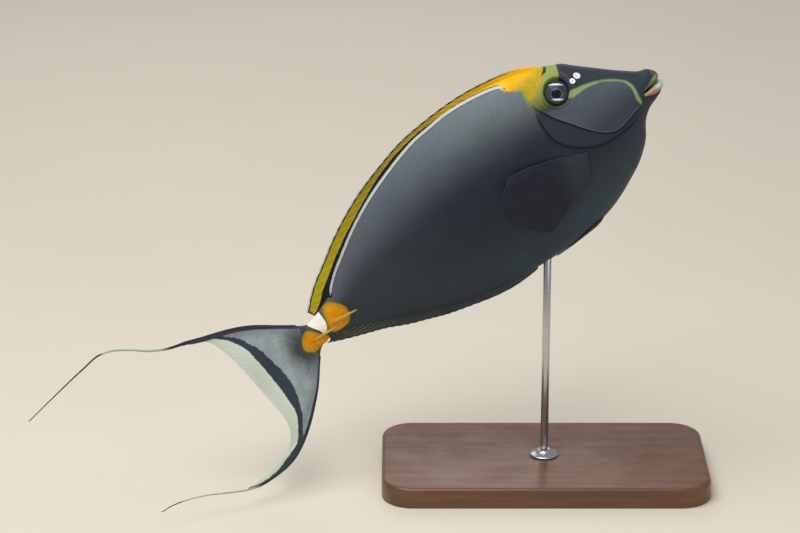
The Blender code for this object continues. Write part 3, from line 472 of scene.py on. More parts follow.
def distance(x, z, line):
    """Distance in side view from a line of points, and the share of its run that is nearest."""
    line = np.asarray(line, float)
    nearest = np.full(np.shape(x), 1e9)
    share = np.zeros(np.shape(x))
    for i in range(len(line) - 1):
        start, step = line[i], line[i + 1] - line[i]
        along = np.clip(((x - start[0]) * step[0] + (z - start[1]) * step[1]) / (step @ step), 0, 1)
        away = np.hypot(x - start[0] - along * step[0], z - start[1] - along * step[1])
        closer = away < nearest
        nearest = np.where(closer, away, nearest)
        share = np.where(closer, (i + along) / (len(line) - 1), share)
    return nearest, share


def inside(x, z, outline):
    """True where a side-view point lies inside a closed outline."""
    found = np.zeros(np.shape(x), bool)
    for (x0, z0), (x1, z1) in zip(outline, np.roll(outline, -1, axis=0)):
        crosses = (z0 > z) != (z1 > z)
        rise = z1 - z0 if z1 != z0 else 1e-9
        found ^= crosses & (x < x0 + (z - z0) / rise * (x1 - x0))
    return found


def patch_distance(x, z, points, smooth=True):
    """Signed distance from a closed patch in side view, positive inside it."""
    closed = list(points) + [points[0]]
    outline = np.array(closed, float)
    if smooth:
        outline = route(closed, 6 * len(points))
    away, _ = distance(x, z, outline)
    return np.where(inside(x, z, outline[:-1]), away, -away)


def fish_pose():
    """Where the fish's frame lies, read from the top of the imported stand's rod."""
    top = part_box("stand_rod")[1].z / MM
    cos, sin = math.cos(NOSE_UP), math.sin(NOSE_UP)
    under = float(belly(ROD_AT))
    place = Vector((under * sin - ROD_AT * cos, 0, top - ROD_SUNK - ROD_AT * sin - under * cos))
    return Matrix.Translation(place * MM) @ Matrix.Rotation(-NOSE_UP, 4, "Y")


POSE = fish_pose()


def grid_faces(rows, columns, wrap=False):
    """Quads of a grid whose points run row by row, joined round each row where it wraps."""
    i, j = np.meshgrid(np.arange(rows - 1), np.arange(columns if wrap else columns - 1),
                       indexing="ij")
    right = (j + 1) % columns
    corners = [i * columns + j, i * columns + right, (i + 1) * columns + right,
               (i + 1) * columns + j]
    return np.stack(corners, axis=-1).reshape(-1, 4)


def ring_faces(rows, count):
    """Faces of a closed surface of rings: quads from ring to ring, and one over each end."""
    faces = grid_faces(rows, count, wrap=True).tolist()
    return faces + [list(range(count)), list(range((rows - 1) * count, rows * count))]


def add_piece(name, points, faces, material, replaced=(), fields=None, matrix=None):
    """A smooth mesh from points in millimetres, in the fish's frame unless a matrix is given."""
    mesh = bpy.data.meshes.new(name)
    mesh.from_pydata((np.asarray(points).reshape(-1, 3) * MM).tolist(), [], faces)
    for field, values in (fields or {}).items():
        layer = mesh.attributes.new(field, "FLOAT", "POINT")
        layer.data.foreach_set("value", np.asarray(values, np.float32).ravel())
    place_mesh(name, mesh, material, replaced, matrix)


def place_mesh(name, mesh, material, replaced=(), matrix=None):
    """Shows a mesh as a piece of the model, in place of the solids that it replaces."""
    work = bmesh.new()
    work.from_mesh(mesh)
    bmesh.ops.recalc_face_normals(work, faces=work.faces)
    work.to_mesh(mesh)
    work.free()
    mesh.shade_smooth()
    mesh.materials.append(material)
    mesh.transform(POSE if matrix is None else matrix)
    piece = bpy.data.objects.new(name, mesh)
    bpy.context.scene.collection.objects.link(piece)
    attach(piece, "root")
    if replaced:
        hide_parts(*replaced)
    return piece


def add_vane(name, middle, half, fields, material, replaced):
    """A thin closed sheet on both sides of a grid of middle points, given as x, y and z."""
    middle = np.stack(np.broadcast_arrays(*middle), axis=-1)
    rows, columns = middle.shape[:2]
    size = rows * columns
    offset = unit(np.cross(np.gradient(middle, axis=0), np.gradient(middle, axis=1)))
    offset = offset * np.broadcast_to(half, (rows, columns))[..., None]
    front = grid_faces(rows, columns)
    at = np.arange(size).reshape(rows, columns)
    border = np.concatenate([at[0, :-1], at[:-1, -1], at[-1, :0:-1], at[:0:-1, 0]])
    following = np.roll(border, -1)
    rim = np.stack([border, following, following + size, border + size], axis=1)
    faces = np.concatenate([front, front[:, ::-1] + size, rim]).tolist()
    both = {field: np.tile(np.broadcast_to(values, (rows, columns)).ravel(), 2)
            for field, values in fields.items()}
    add_piece("fish_" + name, bend([middle + offset, middle - offset]), faces, material,
              replaced, both)


def tube(points, radii, sides, flat):
    """Points and faces of a bar along points, flattened sideways, closed at both ends."""
    along = unit(np.gradient(points, axis=0))
    across = unit(np.cross(along, (0.0, 1.0, 0.0)))[:, None]
    beside = np.cross(across, along[:, None])
    turn = np.linspace(0, 2 * np.pi, sides, endpoint=False)[None, :, None]
    rings = points[:, None] + radii[:, None, None] * (
        np.cos(turn) * across + flat * np.sin(turn) * beside)
    return rings, ring_faces(len(points), sides)


def feed(socket, source):
    """Links a node's socket to a signal, or sets its value."""
    if isinstance(source, Signal):
        socket.id_data.links.new(source.socket, socket)
    elif socket.type == "RGBA":
        socket.default_value = (*source, 1.0)
    else:
        socket.default_value = source


def put(tree, kind, *inputs, given=(), **settings):
    """Adds a node with these settings, its first inputs fed in order and others by name."""
    made = tree.nodes.new("ShaderNode" + kind)
    for name, value in settings.items():
        setattr(made, name, value)
    for socket, source in zip(made.inputs, inputs):
        feed(socket, source)
    for name, source in dict(given).items():
        feed(made.inputs[name], source)
    return made


class Signal:
    """A value in a node tree, so that masks are written as sums."""

    def __init__(self, socket):
        self.socket = socket

    def through(self, kind, *inputs, **settings):
        return Signal(put(self.socket.id_data, kind, self, *inputs, **settings).outputs[0])

    def __add__(self, other):
        return self.through("Math", other, operation="ADD")

    def __sub__(self, other):
        return self.through("Math", other, operation="SUBTRACT")

    def __mul__(self, other):
        return self.through("Math", other, operation="MULTIPLY")

    def __truediv__(self, other):
        return self.through("Math", other, operation="DIVIDE")

    def __abs__(self):
        return self.through("Math", operation="ABSOLUTE")

    def root(self):
        return self.through("Math", operation="SQRT")

    def sine(self):
        return self.through("Math", operation="SINE")

    def ranged(self, low, high, kind="SMOOTHSTEP"):
        """0 where the value is at low, 1 at high."""
        return self.through("MapRange", low, high, interpolation_type=kind)


def blend(mask, under, over):
    """Colour of one paint over another, where the mask is 1."""
    made = put(mask.socket.id_data, "Mix", mask, data_type="RGBA")
    feed(made.inputs[6], under)
    feed(made.inputs[7], over)
    return Signal(made.outputs[2])


def place(tree):
    """Place on the object's own surface."""
    return Signal(put(tree, "TexCoord").outputs["Object"])


def stretched(where, scale):
    """The same places at another scale along each axis."""
    return where.through("Mapping", given={"Scale": scale})


def noise(where, scale, detail=2.0, roughness=0.5):
    given = {"Vector": where, "Scale": scale, "Detail": detail, "Roughness": roughness}
    return Signal(put(where.socket.id_data, "TexNoise", given=given).outputs["Fac"])


def toned(colour, value):
    """A colour made darker or lighter by a value around 1."""
    given = {"Value": value, "Color": colour}
    return Signal(put(value.socket.id_data, "HueSaturation", given=given).outputs["Color"])


def new_group(name, inputs, outputs):
    """A node group with named value sockets: its tree, inputs as signals, and output sockets."""
    tree = bpy.data.node_groups.new(name, "ShaderNodeTree")
    for socket, default in inputs.items():
        made = tree.interface.new_socket(socket, in_out="INPUT", socket_type="NodeSocketFloat")
        made.default_value = default
    for socket in outputs:
        tree.interface.new_socket(socket, in_out="OUTPUT", socket_type="NodeSocketFloat")
    given = tree.nodes.new("NodeGroupInput").outputs
    signals = [Signal(given[socket]) for socket in inputs]
    return tree, signals, tree.nodes.new("NodeGroupOutput").inputs


def make_edge_group():
    """Marking Edge: the mask of a painted mark from its distance, with a slightly ragged edge."""
    tree, (away, softness, wander, grain), made = new_group(
        "Marking Edge", {"Distance": 0.0, "Softness": 0.4, "Wander": 0.3, "Grain": 900.0}, ["Mask"])
    moved = (noise(place(tree), grain) - 0.5) * wander * 2.0 + away
    feed(made["Mask"], moved.ranged(softness * -1.0, softness))


def make_scale_group():
    """Fine Scales: tiny scales with raised rims, and their tone, at a given size."""
    tree, (density,), made = new_group("Fine Scales", {"Density": 1400.0}, ["Height", "Tone"])
    where = place(tree)
    given = {"Vector": where, "Scale": density}
    cells = put(tree, "TexVoronoi", given=given, feature="DISTANCE_TO_EDGE")
    domed = Signal(cells.outputs["Distance"]).ranged(0.0, 0.28)
    feed(made["Height"], noise(where, 2600.0, 3.0) * 0.35 + domed)
    tones = Signal(put(tree, "TexVoronoi", given=given).outputs["Color"])
    feed(made["Tone"], tones.through("SeparateColor"))


def make_mottle_group():
    """Mottle: slow, cloudy change over the surface between two values."""
    tree, (size, low, high), made = new_group(
        "Mottle", {"Size": 60.0, "Low": 0.0, "High": 1.0}, ["Value"])
    cloud = noise(place(tree), size, 5.0, 0.6).ranged(0.3, 0.7)
    feed(made["Value"], cloud * (high - low) + low)


def make_ray_group():
    """Fin Rays: the joints along each bony ray, and fine lines in the membrane between."""
    _, (ray, reach, across), made = new_group(
        "Fin Rays", {"Ray": 0.0, "Reach": 0.0, "Across": 0.0}, ["Height", "Line"])
    on_ray = ray.ranged(0.45, 0.95)
    joints = ((reach * 3.4).sine() * 0.5 + 0.5) * on_ray
    fine = (across * (8 * math.pi)).sine()
    feed(made["Height"], fine * 0.2 + joints * 0.5 + on_ray)
    feed(made["Line"], on_ray)


def make_shared_groups():
    for make in (make_edge_group, make_scale_group, make_mottle_group, make_ray_group):
        make()


class Finish:
    """A material with plain numbers set on its shader, and the paint laid on it so far."""

    def __init__(self, name, roughness=0.45, coat=0.0, specular=0.5):
        self.material = bpy.data.materials.new(name)
        self.material.use_nodes = True
        self.tree = self.material.node_tree
        self.shader = self.tree.nodes["Principled BSDF"].inputs
        self.shader["Roughness"].default_value = roughness
        self.shader["Coat Weight"].default_value = coat
        self.shader["Specular IOR Level"].default_value = specular
        self.shader["Coat Roughness"].default_value = COAT_ROUGHNESS
        self.paint = None

    def field(self, name):
        """Values that a piece's points carry."""
        return Signal(put(self.tree, "Attribute", attribute_name=name).outputs["Fac"])

    def group(self, name, **values):
        """Places a shared group, with its inputs fed by name."""
        made = self.tree.nodes.new("ShaderNodeGroup")
        made.node_tree = bpy.data.node_groups[name]
        for socket, source in values.items():
            feed(made.inputs[socket.title()], source)
        return [Signal(output) for output in made.outputs]

    def mottle(self, size, low=0.0, high=1.0):
        """Cloudy change between two values."""
        return self.group("Mottle", size=size, low=low, high=high)[0]

    def rays(self, reach="reach"):
        """Height of the fin's rays, and their lines."""
        return self.group("Fin Rays", ray=self.field("ray"), reach=self.field(reach),
                          across=self.field("across"))

    def mark(self, away, softness, wander, grain=900.0):
        """Mask of a painted mark, from its distance or the name of the field that holds it."""
        away = self.field(away) if isinstance(away, str) else away
        return self.group("Marking Edge", distance=away, softness=softness, wander=wander,
                          grain=grain)[0]

    def lay(self, mask, colour, share=1.0):
        """Lays a colour over the paint where the mask is 1, or a share of it."""
        self.paint = blend(mask if share == 1.0 else mask * share, self.paint, colour)

    def done(self, height=None, depth=0.0):
        """The material, raised by a height whose full range is a depth in millimetres."""
        feed(self.shader["Base Color"], self.paint)
        if height:
            given = {"Strength": 1.0, "Distance": depth * MM, "Height": height}
            feed(self.shader["Normal"], Signal(put(self.tree, "Bump", given=given).outputs[0]))
        return self.material


def lay_patch(finish, colours, name):
    """One orange patch of the tail stalk, with its olive fringe."""
    away = finish.field(name)
    orange = blend(finish.mottle(170.0), colours.patch, DEEP_ORANGE)
    finish.lay(finish.mark(away + 0.7, 0.8, 0.5), tint(112, 96, 34), 0.6)
    fringed = blend(away.ranged(3.2, 0.2), orange, tint(176, 137, 24))
    finish.lay(finish.mark(away, 0.5, 0.6), fringed)


def skin_finish(sizes, colours):
    """Satin skin: slate body, black mask, grey cheek, green and orange patches, and lines."""
    fish = Finish("fish_skin", 0.42, 0.02, 0.16)
    level, along, high = (fish.field(name) for name in ("level", "along", "high"))
    # The slate pales from the belly up to the back: partly the fish's own colour, partly painted
    # light from overhead and painted shade on the lower flank.
    fish.paint = colours.belly
    flanks = blend(along.ranged(170.0, 60.0), colours.flank, tint(50, 59, 67))
    fish.lay(level.ranged(0.08, 0.4), flanks)
    slate = blend(along.ranged(215.0, 50.0), colours.back, tint(90, 98, 107))
    fish.lay(level.ranged(0.6, 1.0), slate)
    fish.lay(fish.mark("gill", 2.5, 1.0), tint(44, 53, 64))
    cheek = blend(high.ranged(30.0, 4.0), colours.cheek, tint(60, 67, 79))
    fish.lay(fish.mark("cheek", 0.6, 0.2), cheek)
    fish.lay(fish.mark("throat", 5.0, 1.0), colours.mask, 0.75)
    mossy = blend(high.ranged(41.0, 59.0), tint(58, 67, 30), colours.green)
    fish.lay(fish.field("green").ranged(-1.8, 2.6), mossy)
    fish.lay(fish.mark("mask", 0.5, 0.35), colours.mask)
    fish.lay(fish.field("snout_glow").ranged(0.0, 1.0), tint(108, 99, 62), 0.8)
    line = blend(fish.field("cheek_line").ranged(0.1, 1.1), tint(104, 117, 78), tint(140, 155, 107))
    fish.lay(fish.mark("cheek_line", 0.6, 0.3), line)
    nape = blend(fish.mottle(160.0, 0.0, 0.4), colours.nape, tint(222, 150, 0))
    yellowed = fish.field("nape_shade") * fish.mottle(220.0, 0.7, 1.0)
    nape = blend(yellowed, nape, tint(172, 148, 4))
    fish.lay(fish.mark("nape", 1.1, 1.2, 300.0), nape)
    for name, softness, wander, colour in (
            ("over_line", 0.4, 0.2, nape), ("crown_marks", 0.35, 0.6, tint(44, 50, 16)),
            ("dark_line", 0.25, 0.15, colours.black), ("white_line", 0.2, 0.2, colours.white),
            ("stalk_end", 1.0, 0.4, tint(62, 70, 76)), ("saddle", 0.7, 0.6, colours.saddle)):
        fish.lay(fish.mark(name, softness, wander), colour)
    fish.lay(abs(fish.field("saddle") + 0.3).ranged(0.55, 0.25), tint(52, 56, 66))
    lay_patch(fish, colours, "front_patch")
    lay_patch(fish, colours, "rear_patch")
    # The fold mark lays a painted shadow along the folds behind the gill cover's edge and under the
    # cheek's edge.
    for name, softness, wander, share, colour in (
            ("belly_line", 0.4, 0.3, 1.0, tint(132, 130, 44)),
            ("fold_shadow", 0.6, 0.2, 0.8, tint(16, 18, 24)),
            # The cheek rim mark is a painted highlight along the cheek's raised edge.
            ("cheek_rim_highlight", 0.3, 0.1, 0.36, tint(150, 156, 164)),
            ("nostril_rim", 0.2, 0.05, 1.0, tint(246, 247, 248)),
            ("nostril_pit", 0.25, 0.05, 1.0, tint(168, 170, 178)),
            ("mouth", 0.4, 0.1, 1.0, tint(48, 30, 24))):
        fish.lay(fish.mark(name, softness, wander), colour, share)
    height, tone = fish.group("Fine Scales", density=1300.0)
    fish.paint = toned(fish.paint, fish.mottle(45.0, 0.94, 1.06) * (tone * 0.16 + 0.92))
    feed(fish.shader["Roughness"], fish.mottle(90.0, 0.34, 0.5))
    return fish.done(height, sizes.scale_depth)


def section_places(sizes):
    """Sections of the skin, closer together on the head and closest at the snout."""
    stem = np.arange(STALK_END, HEAD_START, sizes.body_step)
    head = np.arange(HEAD_START, SNOUT - SNOUT_RUN, sizes.head_step)
    tip = SNOUT - SNOUT_RUN * np.linspace(1, 0, SNOUT_SECTIONS) ** 2
    return np.concatenate([stem, head, tip])


def line_distance(x, z, line, beyond):
    """Signed distance from a line, positive towards the points beyond it, and the nearest share."""
    away, share = distance(x, z, line)
    return np.where(inside(x, z, np.concatenate([line, beyond])), away, -away), share


def head_fields(x, z):
    """Signed distances from the head's lines and patches, in millimetres, in side view."""
    ahead = x > HEAD_MARKS_START
    near = x[ahead], z[ahead]
    gill, gill_share = line_distance(*near, route(GILL_LINE, 60), GILL_AHEAD)
    cheek_edge = route(CHEEK_EDGE, 40)
    preopercle, cheek_share = line_distance(*near, cheek_edge, CHEEK_ABOVE)
    low = route(CHEEK_LINE_LOW, 50)
    high = route(CHEEK_LINE_HIGH, 50)
    made = {
        "gill": gill,
        "preopercle": preopercle,
        "cheek_line": patch_distance(*near, np.concatenate([low, high]), False),
        "cheek": patch_distance(*near, np.concatenate([low, cheek_edge[::-1]]), False),
        "mask": patch_distance(*near, np.concatenate([MASK_BROW, high[::-1], MASK_CHIN]), False),
        "green": patch_distance(*near, GREEN_PATCH),
        "nape": patch_distance(*near, NAPE_EDGE),
        "throat": patch_distance(*near, THROAT, False),
    }
    behind, low_edge, high_edge = SNOUT_SPOT
    spot = fade((x - behind) / 3) * fade((z - low_edge) / 2) * fade((high_edge - z) / 3)
    fields = {"nape_shade": fade((NAPE_SHADE_TOP - z) / 7), "snout_glow": spot}
    for name, values in made.items():
        fields[name] = np.full(x.shape, FAR)
        fields[name][ahead] = values
    for name, values in (("gill_share", gill_share), ("cheek_share", cheek_share)):
        fields[name] = np.zeros(x.shape)
        fields[name][ahead] = values
    return fields


def white_line(away, share):
    """Signed distance from the white line, by its middle line; it is widest toward the rear."""
    front, rear = WHITE_HALF_WIDTH
    taper = np.minimum(fade(share / WHITE_TAPERS[0]), fade((1 - share) / WHITE_TAPERS[1]))
    return (front + (rear - front) * share) * taper - away + 0.1 * (taper > 0.01)


def span_distance(x, span, start_run, end_run):
    """Distance inside a stretch of x, by how slowly its start and its end come in."""
    return np.minimum((x - span[0]) / start_run, (span[1] - x) / end_run)


def body_fields(x, z):
    """Signed distances from the lines and patches of the back, belly and tail stalk."""
    line = route(BACK_LINE, MARK_POINTS)
    away, share = distance(x, z, line)
    above = np.where(z > np.interp(x, line[::-1, 0], line[::-1, 1]), away, -away)
    widens_at, widens_by = DARK_LINE_WIDENS
    reach_up = DARK_LINE_REACH[0] + widens_by * fade((widens_at - x) / 30)
    dark = np.where(above > 0, reach_up - above, DARK_LINE_REACH[1] - away)
    # At its front end the dark line narrows to a thin dark edge round the white line, a painted
    # shadow there.
    dark = dark - 0.9 * (1 - fade(share / 0.03))
    low = z - belly(x)
    low_ends = fade((x - BELLY_LINE_SPAN[0]) / 42) * fade((BELLY_LINE_SPAN[1] - x) / 34)
    return {
        "white_line": white_line(away, share),
        "dark_line": np.minimum(dark, span_distance(x, DARK_LINE_SPAN, 2, 2)),
        "over_line": np.minimum(above, span_distance(x, NAPE_SPAN, 8, 2)),
        "stalk_end": -1.2 - x,
        "saddle": patch_distance(x, z, SADDLE),
        "front_patch": patch_distance(x, z, FRONT_PATCH),
        "rear_patch": patch_distance(x, z, REAR_PATCH),
        "belly_line": 1.05 * low_ends - 0.2 - low,
        "level": np.clip(low / (back(x) - belly(x)), 0, 1),
        "along": x,
        "high": z,
    }


def hump(value, middle, width):
    """A smooth rise of height 1 where a value is near its middle."""
    return np.exp(-(((value - middle) / width) ** 2))


def relief(x, z, y, fields, sizes):
    """How far the skin stands off the plain body, in millimetres, and the masks of its folds'
    painted shadows, the cheek rim's painted highlight and other marks.
    """
    gill, cheek = fields["gill"], fields["preopercle"]
    cover = fade((GILL_COVER_FRONT - x) / 40) * fade((GILL_COVER_TOP - z) / 18)
    lift = sizes.gill_rise * cover * fade((gill + 0.35) / 0.7)
    shown = fade(fields["gill_share"] / 0.16) * fade((1 - fields["gill_share"]) / 0.12)
    shown = shown * fade((GILL_FOLD_TOP - z) / 8)
    lift -= sizes.groove * np.where(gill < 0.4, np.exp(np.minimum(gill, 0) / 1.1), 0) * shown
    ends = np.sin(np.pi * (0.04 + 0.92 * fields["cheek_share"])) ** 0.5
    lift += sizes.cheek_rise * np.exp(-np.maximum(cheek, 0) / 7) * fade((cheek + 0.3) / 0.6) * ends
    below = (cheek < 0.3) & (cheek > FAR + 10)
    under = np.where(below, np.exp(np.minimum(cheek, 0) / 0.9), 0) * ends
    lift -= 0.7 * sizes.groove * under
    on_flank = fade((np.abs(y) - 2) / 4)
    reach = np.hypot(x - EYE_AT[0], z - EYE_AT[1]) - sizes.eye_radius
    fold_height, fold_reach = BROW_FOLD
    orbit = sizes.orbit_rise * hump(reach, 1.1, 0.85) + fold_height * hump(reach, fold_reach, 1.6)
    lift += (orbit - SOCKET_DEPTH * fade(0.35 - reach)) * on_flank
    beside = np.abs(y) > 2
    rims, pits = np.full(x.shape, NOSTRIL_FAR), np.full(x.shape, NOSTRIL_FAR)
    for (at_x, at_z), radius in NOSTRILS:
        deep = np.abs(y) - float(flank(at_x, at_z))
        away = np.sqrt((x - at_x) ** 2 + (z - at_z) ** 2 + deep ** 2)
        pit = NOSTRIL_PIT * fade((radius - 0.3 - away) / 0.6)
        lift += (NOSTRIL_RIM * hump(away, radius, 0.6) - pit) * on_flank
        rims = np.where(beside, np.maximum(rims, radius + 0.55 - away), NOSTRIL_FAR)
        pits = np.where(beside, np.maximum(pits, radius * 0.4 - away), NOSTRIL_FAR)
    # Painted shadow just behind the gill cover's edge and just under the cheek's edge.
    folds = np.maximum(shown - np.abs(gill + 0.7), fade(ends / 0.8) - np.abs(cheek + 0.8))
    return lift, {
        "fold_shadow": folds - 0.1,
        # Painted highlight along the cheek's raised edge.
        "cheek_rim_highlight": 0.4 * fade(fields["cheek_share"] / 0.3) - np.abs(cheek - 0.4),
        "crown_marks": np.minimum(1.1 - np.abs(fields["nape"] - 0.2),
                                  np.minimum(x - CROWN_MARKS[0], z - CROWN_MARKS[1]) / 1.5),
        "nostril_rim": rims,
        "nostril_pit": pits,
    }


def open_mouth(points):
    """Draws the skin in between the lips, and says where."""
    x, y, z = np.moveaxis(points, -1, 0)
    ahead = np.clip((x - MOUTH_CORNER[0]) / (SNOUT - MOUTH_CORNER[0]), 0, 1.2)
    opening, drawn_in = (corner + (front - corner) * ahead
                         for corner, front in (MOUTH_OPENING, MOUTH_DEPTH))
    middle = MOUTH_CORNER[1] - MOUTH_FALL * ahead
    gap = np.where(x > MOUTH_CORNER[0] - 1, opening - np.abs(z - middle), MOUTH_FAR)
    depth = fade(gap / 1.3)
    return np.stack([x - depth * drawn_in, y * (1 - 0.3 * depth), z], axis=-1), gap


def make_skin(sizes, colours):
    """The whole body from the tail stalk to the snout, in one closed surface."""
    count = sizes.section_points
    angles = (np.arange(count) + 0.5) * 2 * np.pi / count
    rings = skin(section_places(sizes)[:, None], angles[None, :])
    caps = []
    for end, sign in ((rings[0], -1), (rings[-1], 1)):
        middle = end.mean(axis=0)
        shares = np.array([0.75, 0.5, 0.25, 0.02])[:, None, None]
        cap = middle + (end - middle) * shares
        cap[..., 0] += sign * 0.5 * (1 - shares[..., 0] ** 2)
        caps.append(cap)
    rings = np.concatenate([caps[0][::-1], rings, caps[1]])
    x, y, z = np.moveaxis(rings, -1, 0)
    normals = unit(np.cross(np.gradient(rings, axis=1), np.gradient(rings, axis=0)))
    outwards = np.sign((normals[..., 1] * y).sum())
    fields = {**head_fields(x, z), **body_fields(x, z)}
    lift, masks = relief(x, z, y, fields, sizes)
    lift = lift * fade((SNOUT - 1 - x) / 3)
    shaped, gap = open_mouth(rings + normals * (outwards * lift)[..., None])
    fields.update(masks, mouth=gap - 0.5)
    for unpainted in ("gill_share", "cheek_share", "preopercle"):
        fields.pop(unpainted)
    add_piece("fish_skin", bend(shaped), ring_faces(len(shaped), count),
              skin_finish(sizes, colours), ("torso", "head", "tail_stalk"), fields)


def eye_finish(sizes):
    """Wet black eye: oval pupil, a fine pale ring, smoky iris, and above and below a pale bar, a
    painted reflection.
    """
    eye = Finish("wet_eye", 0.2, 0.1, 0.12)
    eye.shader["Coat Roughness"].default_value = 0.04
    wide, high = eye.field("wide") - 0.2, eye.field("high") + 0.4
    reach = (wide * wide + high * high).root()
    tall = (eye.field("high") + 1.5) * 1.2
    oval = (wide * wide + tall * tall).root()
    fibres = noise(place(eye.tree), 1500.0, 4.0)
    eye.paint = blend(fibres, tint(36, 43, 47), tint(58, 66, 72))
    eye.lay(abs(reach - 6.6).ranged(1.2, 0.3), tint(68, 76, 82), 0.7)
    eye.lay(abs(oval - sizes.pupil * 1.2).ranged(0.36, 0.12), tint(112, 118, 124), 0.8)
    # The pale bars above and below the pupil are painted reflections of the light.
    above = high.ranged(-0.5, 0.5)
    near_painted_glint = abs(abs(high) - (above * 0.9 + 5.2) - wide * wide * -0.016)
    along = abs(wide + (above * 1.7 - 1.0)) / (above + 5.0)
    slim = along.ranged(1.05, 0.35, "LINEAR") * 0.85
    eye.lay((slim - near_painted_glint).ranged(0.0, 0.25), tint(222, 226, 238))
    eye.lay(oval.ranged(sizes.pupil + 0.15, sizes.pupil - 0.15), tint(22, 25, 34))
    return eye.done(fibres, 0.02)


def make_eye(sizes, finish, label, side):
    """A domed eyeball that faces along the flank's own direction."""
    rings, segments = 72, 96
    polar = np.linspace(0, np.pi, rings + 1)[1:-1, None]
    turn = np.linspace(0, 2 * np.pi, segments, endpoint=False)[None, :]
    reach = sizes.eye_radius * np.sin(polar)
    proud = EYE_DEPTH * np.cos(polar) + PUPIL_SWELL * np.exp(-((reach / (sizes.pupil * 1.1)) ** 4))
    dome = np.stack([reach * np.cos(turn), proud + 0 * turn, reach * np.sin(turn)], axis=-1)
    flat = dome.reshape(-1, 3)
    first, last = len(flat), len(flat) + 1
    end = first - segments
    faces = grid_faces(len(polar), segments, wrap=True).tolist()
    faces += [[first, j, (j + 1) % segments] for j in range(segments)]
    faces += [[last, end + (j + 1) % segments, end + j] for j in range(segments)]
    # The marks of the iris lie level while the nose is up.
    slant = turn + NOSE_UP
    fields = {"wide": np.append(reach * np.cos(slant), [0, 0]),
              "high": np.append(reach * np.sin(slant), [0, 0])}
    facing = outward(*EYE_AT, side)
    centre = Vector((EYE_AT[0], side * float(flank(*EYE_AT)), EYE_AT[1]))
    centre += facing * (EYE_PROUD - EYE_DEPTH)
    aim = Vector((0, side, 0)).rotation_difference(facing).to_matrix().to_4x4()
    points = np.concatenate([flat, [(0, EYE_DEPTH + PUPIL_SWELL, 0), (0, -EYE_DEPTH, 0)]])
    add_piece("fish_eye_" + label, points * (1, side, 1), faces, finish,
              ("eye_" + label,), fields, POSE @ Matrix.Translation(centre * MM) @ aim)


def lip_finish(name, orange, shaded, pale):
    """Moist, finely wrinkled lip: orange below, with a pale bulge in front."""
    lip = Finish(name, 0.36, 0.1, 0.3)
    cloud = lip.mottle(320.0)
    lip.paint = orange
    lip.lay(cloud, shaded, 0.5)
    lip.lay(lip.field("upper").ranged(-0.5, 0.6), shaded)
    lip.lay(lip.field("bulge").ranged(0.15, 0.75), pale)
    return lip.done(cloud * 0.8 + (lip.field("round") * 150.0).sine(), 0.06)


def make_lip(name, lip, finish):
    """A half oval roll round the snout, thickest in front, that tapers to the mouth's corner."""
    corner, front, half, thin, thick = lip
    turn = np.linspace(-np.pi / 2, np.pi / 2, 97)
    ahead = np.cos(turn)
    line = np.stack([corner[0] + (front[0] - corner[0]) * ahead, half * np.sin(turn),
                     corner[1] + (front[1] - corner[1]) * ahead], axis=1)
    along = unit(np.gradient(line, axis=0))
    outwards = unit(np.cross(along, (0.0, 0.0, 1.0)))
    outwards *= np.sign(outwards[len(turn) // 2, 0])
    raised = np.cross(outwards, along)
    raised *= np.sign(raised[len(turn) // 2, 2])
    sides = 40
    around = np.linspace(0, 2 * np.pi, sides, endpoint=False)
    wrinkle = 1 + 0.03 * np.sin(turn * 60)[:, None] * np.cos(around)[None, :] ** 2
    radius = (thin + (thick - thin) * fade(ahead / 0.75))[:, None] * wrinkle
    rings = (line[:, None] + (radius * np.cos(around))[..., None] * outwards[:, None] * 1.1
             + (radius * np.sin(around))[..., None] * raised[:, None] * 0.92)
    facing = 0.6 * np.cos(around) + 0.8 * np.sin(around)
    fields = {"bulge": ahead[:, None] ** 3 * (facing + 0.55),
              "round": turn[:, None] / np.pi + 0 * radius, "upper": np.sin(around) + 0 * radius}
    add_piece("fish_" + name, rings, ring_faces(len(rings), sides), finish, (name,), fields)


def ray_wave(places, rays, sharpness=2.2):
    """1 on each ray across a fin and 0 midway between two."""
    phase = places * rays % 1.0
    return (1 - 2 * np.abs(phase - 0.5)) ** sharpness


def dorsal_finish(colours):
    """Orange band that turns mustard to the rear, between black lines, with a white edge."""
    fin = Finish("dorsal_fin", 0.45, 0.0, 0.16)
    height, line = fin.rays("foot")
    along, above, rim = (fin.field(name) for name in ("along", "above_dark", "rim"))
    rear, behind_nape = along.ranged(215.0, 130.0), along.ranged(250.0, 226.0)
    fin.paint = colours.nape
    fin.lay(along.ranged(248.0, 196.0), tint(198, 156, 2))
    fin.lay(rear, tint(160, 137, 20))
    fin.lay(along.ranged(110.0, 30.0), colours.mustard)
    fin.lay(fin.mottle(260.0, 0.0, 0.4), blend(rear, tint(208, 140, 0), tint(146, 122, 10)))
    fin.lay(line, tint(120, 100, 14), 0.08)
    fin.lay(abs(above - 0.7).ranged(0.7, 0.2) * rear, tint(176, 176, 84), 0.35)
    fin.lay(fin.mark(above * -1.0, 0.35, 0.5), colours.black)
    fin.lay(rim.ranged(2.5, 2.15) * behind_nape, colours.black)
    fin.lay(rim.ranged(1.3, 1.05) * behind_nape, colours.white)
    fin.lay(fin.mark("white_line", 0.2, 0.2), colours.white)
    return fin.done(height, 0.06)


def anal_finish(colours):
    """Olive black membrane with fine golden streaks between the rays toward the rear."""
    fin = Finish("anal_fin", 0.45, 0.0, 0.2)
    rim = fin.field("rim")
    streaks = fin.field("ray").ranged(0.1, 0.0) * fin.field("along").ranged(85.0, 20.0)
    fin.paint = blend(fin.mottle(90.0), tint(52, 64, 68), tint(61, 72, 74))
    fin.lay(streaks * fin.mottle(220.0, 0.1, 0.85) * rim.ranged(0.8, 2.4), colours.gold)
    fin.lay(rim.ranged(0.6, 0.3), colours.black, 0.7)
    return fin.done(fin.rays("foot")[0], 0.06)


